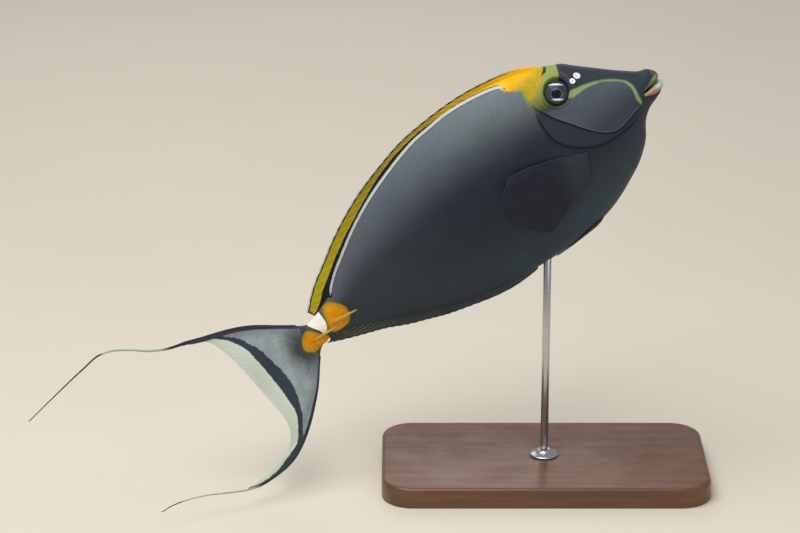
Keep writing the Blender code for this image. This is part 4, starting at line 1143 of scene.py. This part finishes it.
def make_folded_fin(sizes, name, base, rays, lean, edge_line, root_line, sign, finish):
    """A long fin on the mid line, folded back, with its rays raised in the membrane."""
    lean, edge_line = through(lean), through(edge_line)
    places = np.linspace(0, 1, rays * 10 + 1)[:, None]
    out = np.linspace(0, 1, 30)[None, :]
    wave = ray_wave(places, rays)
    root_x = base[0] + (base[1] - base[0]) * places
    tip_x = root_x - lean(root_x)
    root_z = root_line(root_x) - sign * FOOT_SUNK
    ends = fade((base[0] - root_x) / 40) * fade((root_x - base[1]) / 12)
    notch = 0.4 * (1 - wave) ** 2 * ends
    tip_z = edge_line(tip_x) - sign * notch
    x = root_x + (tip_x - root_x) * out
    swell = 0.9 * np.sin(np.pi * out)
    z = root_z + (tip_z - root_z) * out + sign * swell
    sway = 0.5 * np.sin(places * 2 * np.pi * 5 + 1.0) * out ** 2
    bony = (sizes.ray - sizes.membrane) * wave * (1 - 0.7 * out) * (1 - 0.8 * fade((x - 205) / 25))
    half = sizes.membrane + bony + 0.75 * (1 - out) ** 2.5
    half = half * (1 - 0.6 * fade((out - 0.9) / 0.1))
    foot = sign * (z - root_line(x))
    rise = (edge_line(x + 1) - edge_line(x - 1)) / 2
    below = sign * (edge_line(x) - z) - notch + swell
    behind = x - (tip_x[-1] + root_x[-1]) / 2 + 2.5 * out
    rim = np.minimum(below / np.hypot(1, rise), np.maximum(behind, 0.0))
    rim = np.minimum(rim, (1 - out) * np.hypot(tip_x - root_x, tip_z - root_z))
    along_back = distance(x, z, route(BACK_LINE, MARK_POINTS))
    fields = {"ray": wave, "foot": foot, "rim": rim, "across": places * rays, "along": x,
              "above_dark": foot - through(DARK_FOOT)(x), "white_line": white_line(*along_back)}
    add_vane(name, (x, sway, z), half, fields, finish, (name,))


def tail_finish(colours):
    """Grey rayed field, dark root and leading edges, black crescent and pale hind margin."""
    fin = Finish("tail_fin", 0.45, 0.0, 0.22)
    height, line = fin.rays()
    inner, outer, lead = (fin.field(name) for name in ("band_inner", "band_outer", "lead"))
    fin.paint = blend(fin.mottle(120.0), colours.tail, tint(142, 154, 156))
    fin.lay(line, tint(108, 118, 122), 0.08)
    near_root = fin.field("reach") + fin.mottle(45.0, -4.0, 4.0)
    fin.lay(near_root.ranged(27.0, 6.0), tint(40, 48, 51), 0.92)
    fin.lay(lead.ranged(12.0, 3.0), tint(96, 108, 116), 0.4)
    fin.lay(abs(inner + 0.9).ranged(1.3, 0.3), tint(150, 150, 182), 0.25)
    fin.lay(fin.mark(inner, 0.3, 1.5, 500.0), colours.band)
    pale = blend(line * 0.1, colours.margin, tint(176, 190, 174))
    pale = blend(outer.ranged(5.0, 14.0), pale, tint(206, 212, 214))
    fin.lay(fin.mark(outer, 0.4, 1.0, 500.0), pale)
    fin.lay(lead.ranged(2.9, 2.0), colours.band)
    lay_patch(fin, colours, "rear_patch")
    thin = outer.ranged(0.5, 15.0, "LINEAR") * (line * 0.18 + 0.72)
    feed(fin.shader["Alpha"], thin * -0.8 + 1.0)
    return fin.done(height, 0.03)


def streamer_finish(colours):
    """Dark thread with a pale middle stretch."""
    thread = Finish("streamer", 0.45, 0.0, 0.25)
    cloud = thread.mottle(300.0)
    thread.paint = blend(cloud, colours.black, tint(44, 51, 60))
    thread.lay(thread.field("pale"), blend(cloud, tint(150, 168, 152), tint(178, 194, 174)))
    feed(thread.shader["Roughness"], cloud * 0.2 + 0.35)
    return thread.done()


def tail_fields(a, b):
    """Distances from the tail's markings, for places that far behind its root and that high."""
    made = {"reach": np.hypot(a - TAIL_CLOUD[0], (b - TAIL_CLOUD[1]) * 0.85),
            "rear_patch": patch_distance(-a, b, REAR_PATCH)}
    for name, marks in (("band_inner", BAND_INNER), ("band_outer", BAND_OUTER)):
        line = route(marks, MARK_POINTS)
        away, _ = distance(a, b, line)
        made[name] = np.where(a > np.interp(b, line[::-1, 1], line[::-1, 0]), away, -away)
    strip_line = route(STRIP_BAND, MARK_POINTS)
    away, _ = distance(a, b, strip_line)
    over = np.where(b > np.interp(a, strip_line[:, 0], strip_line[:, 1]), away, -away)
    on_strip = (a > TAIL_TRAIL[0][0]) & (b < 0)
    made["band_outer"] = np.where(on_strip, over, made["band_outer"])
    low = distance(a, b, route(LOWER_LEAD + LOWER_STREAMER[1:4], MARK_POINTS))[0]
    high = distance(a, b, route(UPPER_LEAD, MARK_POINTS))[0]
    made["lead"] = np.minimum(low + 1.0, high)
    return made


def spanned(low, high, start, end, u, v):
    """A patch between four curves, low to high over v and start to end over u."""
    start = start - (1 - v) * start[0] - v * start[-1]
    end = end - (1 - v) * end[0] - v * end[-1]
    patch = (1 - v) * low + v * high + (1 - u) * start + u * end
    return patch[..., 0], patch[..., 1]


def make_tail_fin(sizes, finish):
    """Both lobes as one rayed sheet between the leading edges, the root and the hind edge."""
    rays = sizes.tail_rays
    across = np.linspace(0, 1, rays * 14 + 1)
    out = np.linspace(0, 1, 90) ** 0.9
    low, high = route(LOWER_LEAD, out), route(UPPER_LEAD, out)
    root = low[0] + (high[0] - low[0]) * across[:, None]
    root[:, 0] -= 1.5 * np.sin(np.pi * across)
    a, b = spanned(low, high, root[:, None], route(TAIL_TRAIL, across)[:, None],
                   out[None, :, None], across[:, None, None])
    u, v = out[None, :], across[:, None]
    branch = fade((u - 0.35) / 0.25)
    wave = ray_wave(v, rays, 2.6) * (1 - branch) + ray_wave(v, 2 * rays, 2.0) * branch
    sway = 0.9 * np.sin(v * 2 * np.pi * 2.5 + 0.7) * u ** 2
    stem = flank(STALK_END, np.abs(root[:, 1]))[:, None] * (1 - u) ** 4
    spar = 0.5 * (fade((v - 0.93) / 0.07) + fade((0.07 - v) / 0.07)) * fade(u / 0.1)
    bony = (sizes.ray - sizes.membrane) * wave * (0.55 - 0.4 * u) * fade((u - 0.1) / 0.25)
    half = (sizes.membrane + bony + 0.9 * stem + spar) * (1 - 0.7 * fade((u - 0.97) / 0.03))
    fields = {"ray": wave, "across": v * rays, **tail_fields(a, b)}
    add_vane("tail_fin", (-a, sway, b), half, fields, finish,
             ("caudal_fin_upper", "caudal_fin_lower"))


def make_tail_strip(sizes, finish):
    """The strip that carries the lower lobe on beside its streamer, from the sheet's own end."""
    end = route(TAIL_TRAIL, 600)
    last = np.hypot(*(end - STRIP_HIND[0]).T).argmin()
    across = np.linspace(0, 1, 30)
    start = route(end[:last + 1], across)
    out = np.linspace(0, 1, 120)
    low = route([TAIL_TRAIL[0]] + LOWER_STREAMER[1:4], out)
    high = route([tuple(start[-1])] + STRIP_HIND[1:], out)
    u, v = out[None, :], across[:, None]
    finish_line = low[-1] + (high[-1] - low[-1]) * v
    a, b = spanned(low, high, start[:, None], finish_line[:, None], u[..., None], v[..., None])
    wave = ray_wave(v, 3)
    half = sizes.membrane * (0.9 - 0.6 * fade((v - 0.8) / 0.2)) + 0.1 * wave
    sway = 0.9 * np.sin(0.7) * (1 - fade(u / 0.5))
    fields = {"ray": wave, "across": v * 3, **tail_fields(a, b)}
    add_vane("tail_strip", (-a, sway, b), half, fields, finish, ())


def make_streamer(name, lead, points, pale_stretch, finish):
    """The spar along a lobe's leading edge, and the long thread that it draws out into."""
    sides = 16
    flat = route(lead[:-1] + points, 260)
    behind, level = flat.T
    run = np.concatenate([[0], np.cumsum(np.linalg.norm(np.diff(flat, axis=0), axis=1))])
    free = np.interp(points[0][0], behind, run)
    drawn = np.clip((run - free) / (run[-1] - free), 0, 1)
    radii = 0.34 + 0.7 * (1 - drawn) ** 1.15 + 0.45 * np.exp(-drawn / 0.03)
    radii = np.minimum(radii, 0.45 + 0.8 * fade((run - 8) / 34) + 0.3 * fade((run - 60) / 30))
    rings, faces = tube(bend(np.stack([-behind, 0 * behind, level], axis=1)), radii, sides, 0.75)
    pale = fade((behind - pale_stretch[0]) / 8) * fade((pale_stretch[1] - behind) / 5)
    add_piece("fish_" + name, rings, faces, finish, (name + "_root", name + "_tip"),
              {"pale": np.repeat(pale, sides)})


def paired_fin_finish(name, dark, clouded, root):
    """A dark fin of the flank or belly, with paler rays and a fine pale edge."""
    fin = Finish(name, 0.45, 0.0, 0.2)
    height, line = fin.rays()
    reach = fin.field("reach")
    fin.paint = blend(fin.mottle(130.0), dark, clouded)
    fin.lay(line, tint(40, 45, 56), 0.15)
    fin.lay(reach.ranged(30.0, 4.0), root, 0.95)
    rim = fin.field("rim").ranged(0.7, 0.3) * reach.ranged(10.0, 30.0)
    fin.lay(rim, tint(84, 92, 98), 0.2)
    return fin.done(height, 0.02)


def make_pectoral(sizes, finish, label, side):
    """A fan of rays behind the gill cover, swept back, up and a little off the flank."""
    rays = sizes.pectoral_rays
    down = np.linspace(0, 1, rays * 12 + 1)[:, None]
    out = np.linspace(0, 1, 60)[None, :]
    main = ray_wave(down, rays)
    branch = fade((out - 0.5) / 0.25) * fade(down / 0.1)
    wave = main * (1 - branch) + ray_wave(down, 2 * rays, 2.0) * branch
    length = PECTORAL_LENGTH * (1 - 0.26 * down ** 1.3) * (0.84 + 0.16 * fade(down / 0.22))
    length = length * (1 - 0.08 * fade((down - 0.82) / 0.18)) - 0.35 * (1 - main) ** 2
    heading = PECTORAL_RISE - PECTORAL_SPREAD * down - PECTORAL_CURL * (1 - down) * out ** 2
    reach = length * out - 3.0 * (1 - out)
    sweep = PECTORAL_SWEEP * (0.6 + 0.4 * np.cos(np.pi * (down - 0.4)))
    root_x = PECTORAL_AT[0] + PECTORAL_BASE * 0.45 * (0.5 - down)
    root_z = PECTORAL_AT[1] + PECTORAL_BASE * (0.5 - down)
    x = root_x - reach * np.cos(heading) * np.cos(sweep)
    z = root_z + reach * np.sin(heading)
    y = flank(root_x, root_z) - 1.2 + (reach + 3.0) * np.sin(sweep) - 2.5 * out ** 2
    y = y + 0.5 * np.sin(down * 2 * np.pi * 2 + 0.5) * out ** 2
    half = sizes.membrane + 0.55 * (sizes.ray - sizes.membrane) * wave * (1 - 0.8 * out)
    half = (half + 1.5 * (1 - out) ** 4) * (1 - 0.6 * fade((out - 0.96) / 0.04))
    rim = np.minimum(length * (1 - out), np.minimum(down, 1 - down) * 45 + 0.2)
    fields = {"ray": wave, "across": down * rays, "reach": reach, "rim": rim}
    name = "pectoral_fin_" + label
    add_vane(name, (x, side * y, z), half, fields, finish, (name,))


def make_pelvic(sizes, finish, label, side):
    """A narrow fin of one spine and three rays, folded back along the belly."""
    across = np.linspace(0, 1, PELVIC_RAYS * 14 + 1)[:, None]
    out = np.linspace(0, 1, 60)[None, :]
    wave = ray_wave(across, PELVIC_RAYS)
    run = PELVIC_BASE - PELVIC_TIP
    x = PELVIC_BASE + 4 * across - run * out * (1 - 0.28 * across)
    opened = 0.45 + 0.55 * np.sin(np.pi * out ** 0.8)
    angle = -np.pi / 2 + PELVIC_LEAN + PELVIC_SPREAD * across * opened
    base = skin(x, angle)
    clear = -2.0 + 2.9 * fade(out / 0.22) - 0.1 * out
    middle = base + unit(skin(x, angle, 1.0) - base) * clear[..., None]
    middle[..., 1] *= side
    half = sizes.membrane + (sizes.ray - sizes.membrane) * wave * (1 - 0.6 * out)
    half = half + 0.5 * (1 - out) ** 3
    rim = np.minimum(run * (1 - out), np.minimum(across, 1 - across) * 14 + 0.1)
    fields = {"ray": wave, "across": across * PELVIC_RAYS, "reach": run * out, "rim": rim}
    name = "pelvic_fin_" + label
    add_vane(name, np.moveaxis(middle, -1, 0), half, fields, finish, (name,))


def keel_finish(colours):
    """Smooth horny orange, paler toward the blade's edge and point."""
    horn = Finish("keel_horn", 0.34, 0.08, 0.25)
    horn.paint = blend(horn.mottle(260.0), colours.patch, DEEP_ORANGE)
    horn.lay(horn.field("blade").ranged(1.2, 3.2), tint(190, 162, 66))
    return horn.done(horn.group("Fine Scales", density=900.0)[0], 0.03)


def make_keel(finish, where, label, side):
    """An oval bony plate with a flat blade hooked forwards, grown together."""
    centre, level, length, height, reach, hook = KEELS[where]
    wall = float(flank(centre, level))
    work = bmesh.new()
    bmesh.ops.create_uvsphere(work, u_segments=48, v_segments=32, radius=1.0)
    for vertex in work.verts:
        x, y, z = vertex.co
        vertex.co = (centre + length * x, side * (wall - 0.6) + 1.5 * y, level + height * z)
    outline = route([(-length * 1.1, -1.0), (-length * 0.8, 0.7), (-length * 0.1, reach * 0.5),
                     (length * 0.5, reach * 0.82), (hook * 0.75, reach), (hook, reach * 1.03),
                     (hook * 0.75, reach * 0.66), (length * 0.8, -1.2)], 40)
    middle = outline.mean(axis=0)
    rings = []
    for rise, share in ((-0.8, 0.86), (-0.55, 0.95), (0, 1.0), (0.4, 0.97), (0.6, 0.9)):
        flat = middle + (outline - middle) * share
        slim = 1 - 0.45 * fade(flat[:, 0] / hook)
        rings.append([
            work.verts.new((centre + fx, side * (wall + fy),
                            level + rise * 1.25 * thin + 2.7 - 0.06 * fx))
            for (fx, fy), thin in zip(flat, slim)])
    for low, high in zip(rings, rings[1:]):
        for quad in zip(low, low[1:] + low[:1], high[1:] + high[:1], high):
            work.faces.new(quad)
    work.faces.new(rings[0])
    work.faces.new(rings[-1][::-1])
    bmesh.ops.recalc_face_normals(work, faces=work.faces)
    for vertex, bent in zip(work.verts, bend([tuple(v.co) for v in work.verts])):
        vertex.co = Vector(bent) * MM
    name = f"keel_{where}_{label}"
    mesh = bpy.data.meshes.new("rough")
    work.to_mesh(mesh)
    work.free()
    rough = bpy.data.objects.new("rough", mesh)
    bpy.context.scene.collection.objects.link(rough)
    grown = rough.modifiers.new("grown", "REMESH")
    grown.mode = "VOXEL"
    grown.voxel_size = 0.2 * MM
    soft = rough.modifiers.new("soft", "SMOOTH")
    soft.factor = 0.5
    soft.iterations = 3
    graph = bpy.context.evaluated_depsgraph_get()
    joined = bpy.data.meshes.new_from_object(rough.evaluated_get(graph))
    bpy.data.objects.remove(rough)
    bpy.data.meshes.remove(mesh)
    joined.name = "fish_" + name
    root, beside = bend([(centre, side * wall, level), (centre, side * (wall + 1), level)]) * MM
    away = Vector(beside - root).normalized()
    layer = joined.attributes.new("blade", "FLOAT", "POINT")
    layer.data.foreach_set("value", [(v.co - Vector(root)).dot(away) / MM
                                     for v in joined.vertices])
    place_mesh("fish_" + name, joined, finish, (name,))


def wood_finish(colours):
    """Oiled dark wood with long grain, pores and a low sheen."""
    wood = Finish("oiled_wood", 0.42, 0.15)
    where = place(wood.tree)
    grain = stretched(where, (0.7, 9.0, 9.0))
    pores = noise(stretched(where, (40.0, 900.0, 900.0)), 1.6, 3.0, 0.7)
    wood.paint = colours.wood
    wood.lay(noise(grain, 16.0, 6.0, 0.62).ranged(0.36, 0.66), tint(74, 45, 27))
    wood.lay(noise(grain, 7.0, 4.0), tint(132, 86, 52), 0.5)
    wood.lay(pores.ranged(0.62, 0.75), tint(38, 22, 13), 0.7)
    feed(wood.shader["Roughness"], wood.mottle(40.0, 0.34, 0.5))
    return wood.done(pores * -1.0, 0.06)


def steel_finish():
    """Brushed steel with fine turned lines."""
    steel = Finish("brushed_steel", 0.3)
    steel.shader["Metallic"].default_value = 1.0
    lines = noise(stretched(place(steel.tree), (30.0, 30.0, 6000.0)), 1.0, 3.0)
    steel.paint = blend(lines, tint(176, 177, 180), tint(210, 211, 213))
    feed(steel.shader["Roughness"], lines * 0.16 + 0.2)
    return steel.done(lines, 0.004)


def turned_piece(name, profile, finish):
    """A round steel piece about the rod's axis, from (radius, height) points in millimetres."""
    segments = 96
    turns = np.linspace(0, 2 * np.pi, segments, endpoint=False)
    radius, height = np.array(profile, float).T
    rings = np.stack([radius[:, None] * np.cos(turns), radius[:, None] * np.sin(turns),
                      height[:, None] + 0 * turns], axis=-1)
    add_piece("model_" + name, rings, ring_faces(len(profile), segments), finish,
              ("stand_" + name,), matrix=Matrix.Identity(4))


def make_base(colours):
    """Wooden base with rounded corners and edge."""
    low, high = (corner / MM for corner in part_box("stand_base"))
    work = bmesh.new()
    bmesh.ops.create_cube(work, size=1)
    bmesh.ops.scale(work, vec=high - low, verts=work.verts)
    bmesh.ops.translate(work, vec=(low + high) / 2, verts=work.verts)
    for chosen, offset, segments in (
            (lambda a, b: abs(a - b) > 1, BASE_CORNER, 24),
            (lambda a, b: min(a, b) > high.z - 0.1, BASE_ROUND, 8),
            (lambda a, b: max(a, b) < low.z + 0.1, BASE_FOOT_ROUND, 3)):
        edges = [e for e in work.edges if chosen(*(v.co.z for v in e.verts))]
        bmesh.ops.bevel(work, geom=edges, offset=offset, segments=segments, profile=0.5,
                        affect="EDGES")
    bmesh.ops.scale(work, vec=(MM, MM, MM), verts=work.verts)
    mesh = bpy.data.meshes.new("model_base")
    work.to_mesh(mesh)
    work.free()
    base = place_mesh("model_base", mesh, wood_finish(colours), ("stand_base",),
                      Matrix.Identity(4))
    base.data.set_sharp_from_angle(angle=math.radians(40))


def make_steel():
    """The rod, and the turned collar at its foot."""
    steel = steel_finish()
    rod_low, rod_high = (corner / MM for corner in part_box("stand_rod"))
    radius = rod_high.x
    turned_piece("rod", [(radius - 0.3, rod_low.z), (radius, rod_low.z + 0.3),
                         (radius, rod_high.z - 1), (radius - 1, rod_high.z)], steel)
    collar_low, collar_high = (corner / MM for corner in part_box("stand_collar"))
    foot, top, wide = collar_low.z, collar_high.z, collar_high.x
    bore = radius + COLLAR_GAP
    inwards = 1 - np.sin(np.linspace(0, np.pi / 2, 12)[1:])
    curve = list(zip(bore + 2 + (wide - bore - 2.6) * inwards,
                     foot + 1.2 + (top - foot - 1.2) * (1 - inwards ** 0.6)))
    turned_piece("collar", [(bore, foot), (wide - 0.4, foot), (wide, foot + 0.4), (wide, foot + 1),
                            *curve, (bore + 0.4, top), (bore, top - 0.3)], steel)


def floor_finish(colours):
    """Plain pale floor, matt, with the faintest unevenness."""
    floor = Finish("pale_floor", 0.7)
    floor.paint = toned(colours.floor, floor.mottle(3.0, 0.985, 1.015))
    return floor.done()


def add_light(name, at, size, power, colour):
    """A soft rectangle of light, aimed at the model."""
    data = bpy.data.lights.new(name, "AREA")
    data.shape = "RECTANGLE"
    data.size, data.size_y = size
    data.energy = power
    data.color = colour
    light = bpy.data.objects.new(name, data)
    bpy.context.scene.collection.objects.link(light)
    light.location = at
    light.rotation_euler = (LIGHT_AIM - Vector(at)).to_track_quat("-Z", "Y").to_euler()


def make_camera(stage):
    """Camera that puts the tail root where the photograph has it, at the photograph's scale."""
    tilt = stage.elevation
    forward = Vector((0, math.cos(tilt), -math.sin(tilt)))
    upward = Vector((0, math.sin(tilt), math.cos(tilt)))
    root = POSE.translation
    right = (TAIL_ROOT_PIXEL[0] - FRAME_WIDTH / 2) * PIXEL_SIZE * MM
    up = (FRAME_HEIGHT / 2 - TAIL_ROOT_PIXEL[1]) * PIXEL_SIZE * MM
    target = root - Vector((right, 0, 0)) - upward * up
    data = bpy.data.cameras.new("camera")
    data.sensor_width = SENSOR
    data.lens = SENSOR * stage.distance / (FRAME_WIDTH * PIXEL_SIZE * MM)
    data.clip_end = 50
    camera = bpy.data.objects.new("camera", data)
    bpy.context.scene.collection.objects.link(camera)
    camera.location = target - forward * stage.distance
    camera.rotation_euler = forward.to_track_quat("-Z", "Y").to_euler()
    bpy.context.scene.camera = camera


def make_stage(stage, colours):
    """Pale floor, soft lights, an even room and the camera."""
    scene = bpy.context.scene
    mesh = bpy.data.meshes.new("floor")
    corners = [(x * FLOOR_REACH, y * FLOOR_REACH, 0)
               for x, y in ((-1, -1), (1, -1), (1, 1), (-1, 1))]
    mesh.from_pydata(corners, [], [(0, 1, 2, 3)])
    mesh.materials.append(floor_finish(colours))
    floor = bpy.data.objects.new("floor", mesh)
    scene.collection.objects.link(floor)
    add_light("key", (-0.5, -0.5, 1.7), (1.5, 1.1), stage.key_power, (1.0, 0.985, 0.96))
    add_light("fill", (1.3, -1.8, 0.9), (1.0, 0.9), stage.fill_power, (0.95, 0.98, 1.0))
    add_light("rear", (-0.3, 1.6, 1.2), (1.2, 0.8), stage.fill_power, (1.0, 1.0, 1.0))
    world = bpy.data.worlds.new("room")
    world.use_nodes = True
    shade = world.node_tree.nodes["Background"]
    shade.inputs["Color"].default_value = (0.93, 0.96, 1.0, 1.0)
    shade.inputs["Strength"].default_value = stage.room_light
    scene.world = world
    scene.view_settings.view_transform = "Standard"
    make_camera(stage)


class UNICORNFISH_OT_skin(bpy.types.Operator):
    """Build the skin with its folds, nostrils, mouth and markings"""

    bl_idname = "unicornfish.skin"
    bl_label = "Skin"

    def execute(self, context):
        make_skin(context.scene.unicornfish_sizes, context.scene.unicornfish_colours)
        return {"FINISHED"}


class UNICORNFISH_OT_eyes(bpy.types.Operator):
    """Set both eyes in their orbits"""

    bl_idname = "unicornfish.eyes"
    bl_label = "Eyes"

    def execute(self, context):
        sizes = context.scene.unicornfish_sizes
        finish = eye_finish(sizes)
        for label, side in SIDES:
            make_eye(sizes, finish, label, side)
        return {"FINISHED"}


class UNICORNFISH_OT_lips(bpy.types.Operator):
    """Model the upper and lower lip round the mouth"""

    bl_idname = "unicornfish.lips"
    bl_label = "Lips"

    def execute(self, context):
        colours = context.scene.unicornfish_colours
        olive = tint(106, 96, 60)
        make_lip("upper_lip", UPPER_LIP,
                 lip_finish("upper_lip", olive, tint(78, 74, 56), tint(118, 112, 76)))
        make_lip("lower_lip", LOWER_LIP,
                 lip_finish("lower_lip", colours.lip, tint(168, 138, 104), colours.lip_pale))
        return {"FINISHED"}


class UNICORNFISH_OT_midline_fins(bpy.types.Operator):
    """Build the long fins of the back and belly"""

    bl_idname = "unicornfish.midline_fins"
    bl_label = "Dorsal and Anal Fins"

    def execute(self, context):
        sizes = context.scene.unicornfish_sizes
        colours = context.scene.unicornfish_colours
        make_folded_fin(sizes, "dorsal_fin", DORSAL_BASE, sizes.dorsal_rays, DORSAL_LEAN,
                        DORSAL_EDGE, back, 1, dorsal_finish(colours))
        make_folded_fin(sizes, "anal_fin", ANAL_BASE, sizes.anal_rays, ANAL_LEAN, ANAL_EDGE,
                        belly, -1, anal_finish(colours))
        return {"FINISHED"}


class UNICORNFISH_OT_tail_fin(bpy.types.Operator):
    """Build the tail fin and its two streamers"""

    bl_idname = "unicornfish.tail_fin"
    bl_label = "Tail Fin"

    def execute(self, context):
        colours = context.scene.unicornfish_colours
        finish = tail_finish(colours)
        make_tail_fin(context.scene.unicornfish_sizes, finish)
        make_tail_strip(context.scene.unicornfish_sizes, finish)
        thread = streamer_finish(colours)
        make_streamer("streamer_upper", UPPER_LEAD, UPPER_STREAMER, UPPER_PALE, thread)
        make_streamer("streamer_lower", LOWER_LEAD, LOWER_STREAMER, LOWER_PALE, thread)
        return {"FINISHED"}


class UNICORNFISH_OT_paired_fins(bpy.types.Operator):
    """Build the pectoral and pelvic fins of both sides"""

    bl_idname = "unicornfish.paired_fins"
    bl_label = "Pectoral and Pelvic Fins"

    def execute(self, context):
        sizes = context.scene.unicornfish_sizes
        colours = context.scene.unicornfish_colours
        dark = paired_fin_finish("pectoral_fin", colours.black, tint(31, 36, 47), tint(46, 56, 63))
        mossy = paired_fin_finish("pelvic_fin", colours.belly, tint(66, 72, 54), colours.belly)
        for label, side in SIDES:
            make_pectoral(sizes, dark, label, side)
            make_pelvic(sizes, mossy, label, side)
        return {"FINISHED"}


class UNICORNFISH_OT_keels(bpy.types.Operator):
    """Build the hooked keels on both sides of the tail stalk"""

    bl_idname = "unicornfish.keels"
    bl_label = "Keels"

    def execute(self, context):
        finish = keel_finish(context.scene.unicornfish_colours)
        for label, side in SIDES:
            for where in KEELS:
                make_keel(finish, where, label, side)
        return {"FINISHED"}


class UNICORNFISH_OT_stand(bpy.types.Operator):
    """Build the wooden base, the rod and its collar"""

    bl_idname = "unicornfish.stand"
    bl_label = "Stand"

    def execute(self, context):
        make_base(context.scene.unicornfish_colours)
        make_steel()
        return {"FINISHED"}


class UNICORNFISH_OT_stage(bpy.types.Operator):
    """Lay the floor and set the lights and camera"""

    bl_idname = "unicornfish.stage"
    bl_label = "Stage"

    def execute(self, context):
        make_stage(context.scene.unicornfish_stage, context.scene.unicornfish_colours)
        return {"FINISHED"}


OPERATORS = (UNICORNFISH_OT_skin, UNICORNFISH_OT_eyes, UNICORNFISH_OT_lips,
             UNICORNFISH_OT_midline_fins, UNICORNFISH_OT_tail_fin, UNICORNFISH_OT_paired_fins,
             UNICORNFISH_OT_keels, UNICORNFISH_OT_stand, UNICORNFISH_OT_stage)


class UNICORNFISH_PT_panel(bpy.types.Panel):
    """Lists the steps that build the model"""

    bl_idname = "UNICORNFISH_PT_panel"
    bl_label = "Unicornfish"
    bl_space_type = "VIEW_3D"
    bl_region_type = "UI"
    bl_category = "Unicornfish"

    def draw(self, context):
        for group in ("sizes", "colours", "stage"):
            settings = getattr(context.scene, "unicornfish_" + group)
            box = self.layout.box()
            for name in settings.bl_rna.properties.keys():
                if name not in ("rna_type", "name"):
                    box.prop(settings, name)
        for operator in OPERATORS:
            self.layout.operator(operator.bl_idname)


SETTINGS = (("unicornfish_sizes", UnicornfishSizes), ("unicornfish_colours", UnicornfishColours),
            ("unicornfish_stage", UnicornfishStage))


def register():
    for name, group in SETTINGS:
        bpy.utils.register_class(group)
        setattr(bpy.types.Scene, name, PointerProperty(type=group))
    for made in (*OPERATORS, UNICORNFISH_PT_panel):
        bpy.utils.register_class(made)


def unregister():
    for made in (UNICORNFISH_PT_panel, *reversed(OPERATORS)):
        bpy.utils.unregister_class(made)
    for name, group in reversed(SETTINGS):
        delattr(bpy.types.Scene, name)
        bpy.utils.unregister_class(group)


def main():
    register()
    make_shared_groups()
    bpy.ops.unicornfish.skin()
    bpy.ops.unicornfish.eyes()
    bpy.ops.unicornfish.lips()
    bpy.ops.unicornfish.midline_fins()
    bpy.ops.unicornfish.tail_fin()
    bpy.ops.unicornfish.paired_fins()
    bpy.ops.unicornfish.keels()
    bpy.ops.unicornfish.stand()
    bpy.ops.unicornfish.stage()
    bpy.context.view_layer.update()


if __name__ == "__main__":
    main()
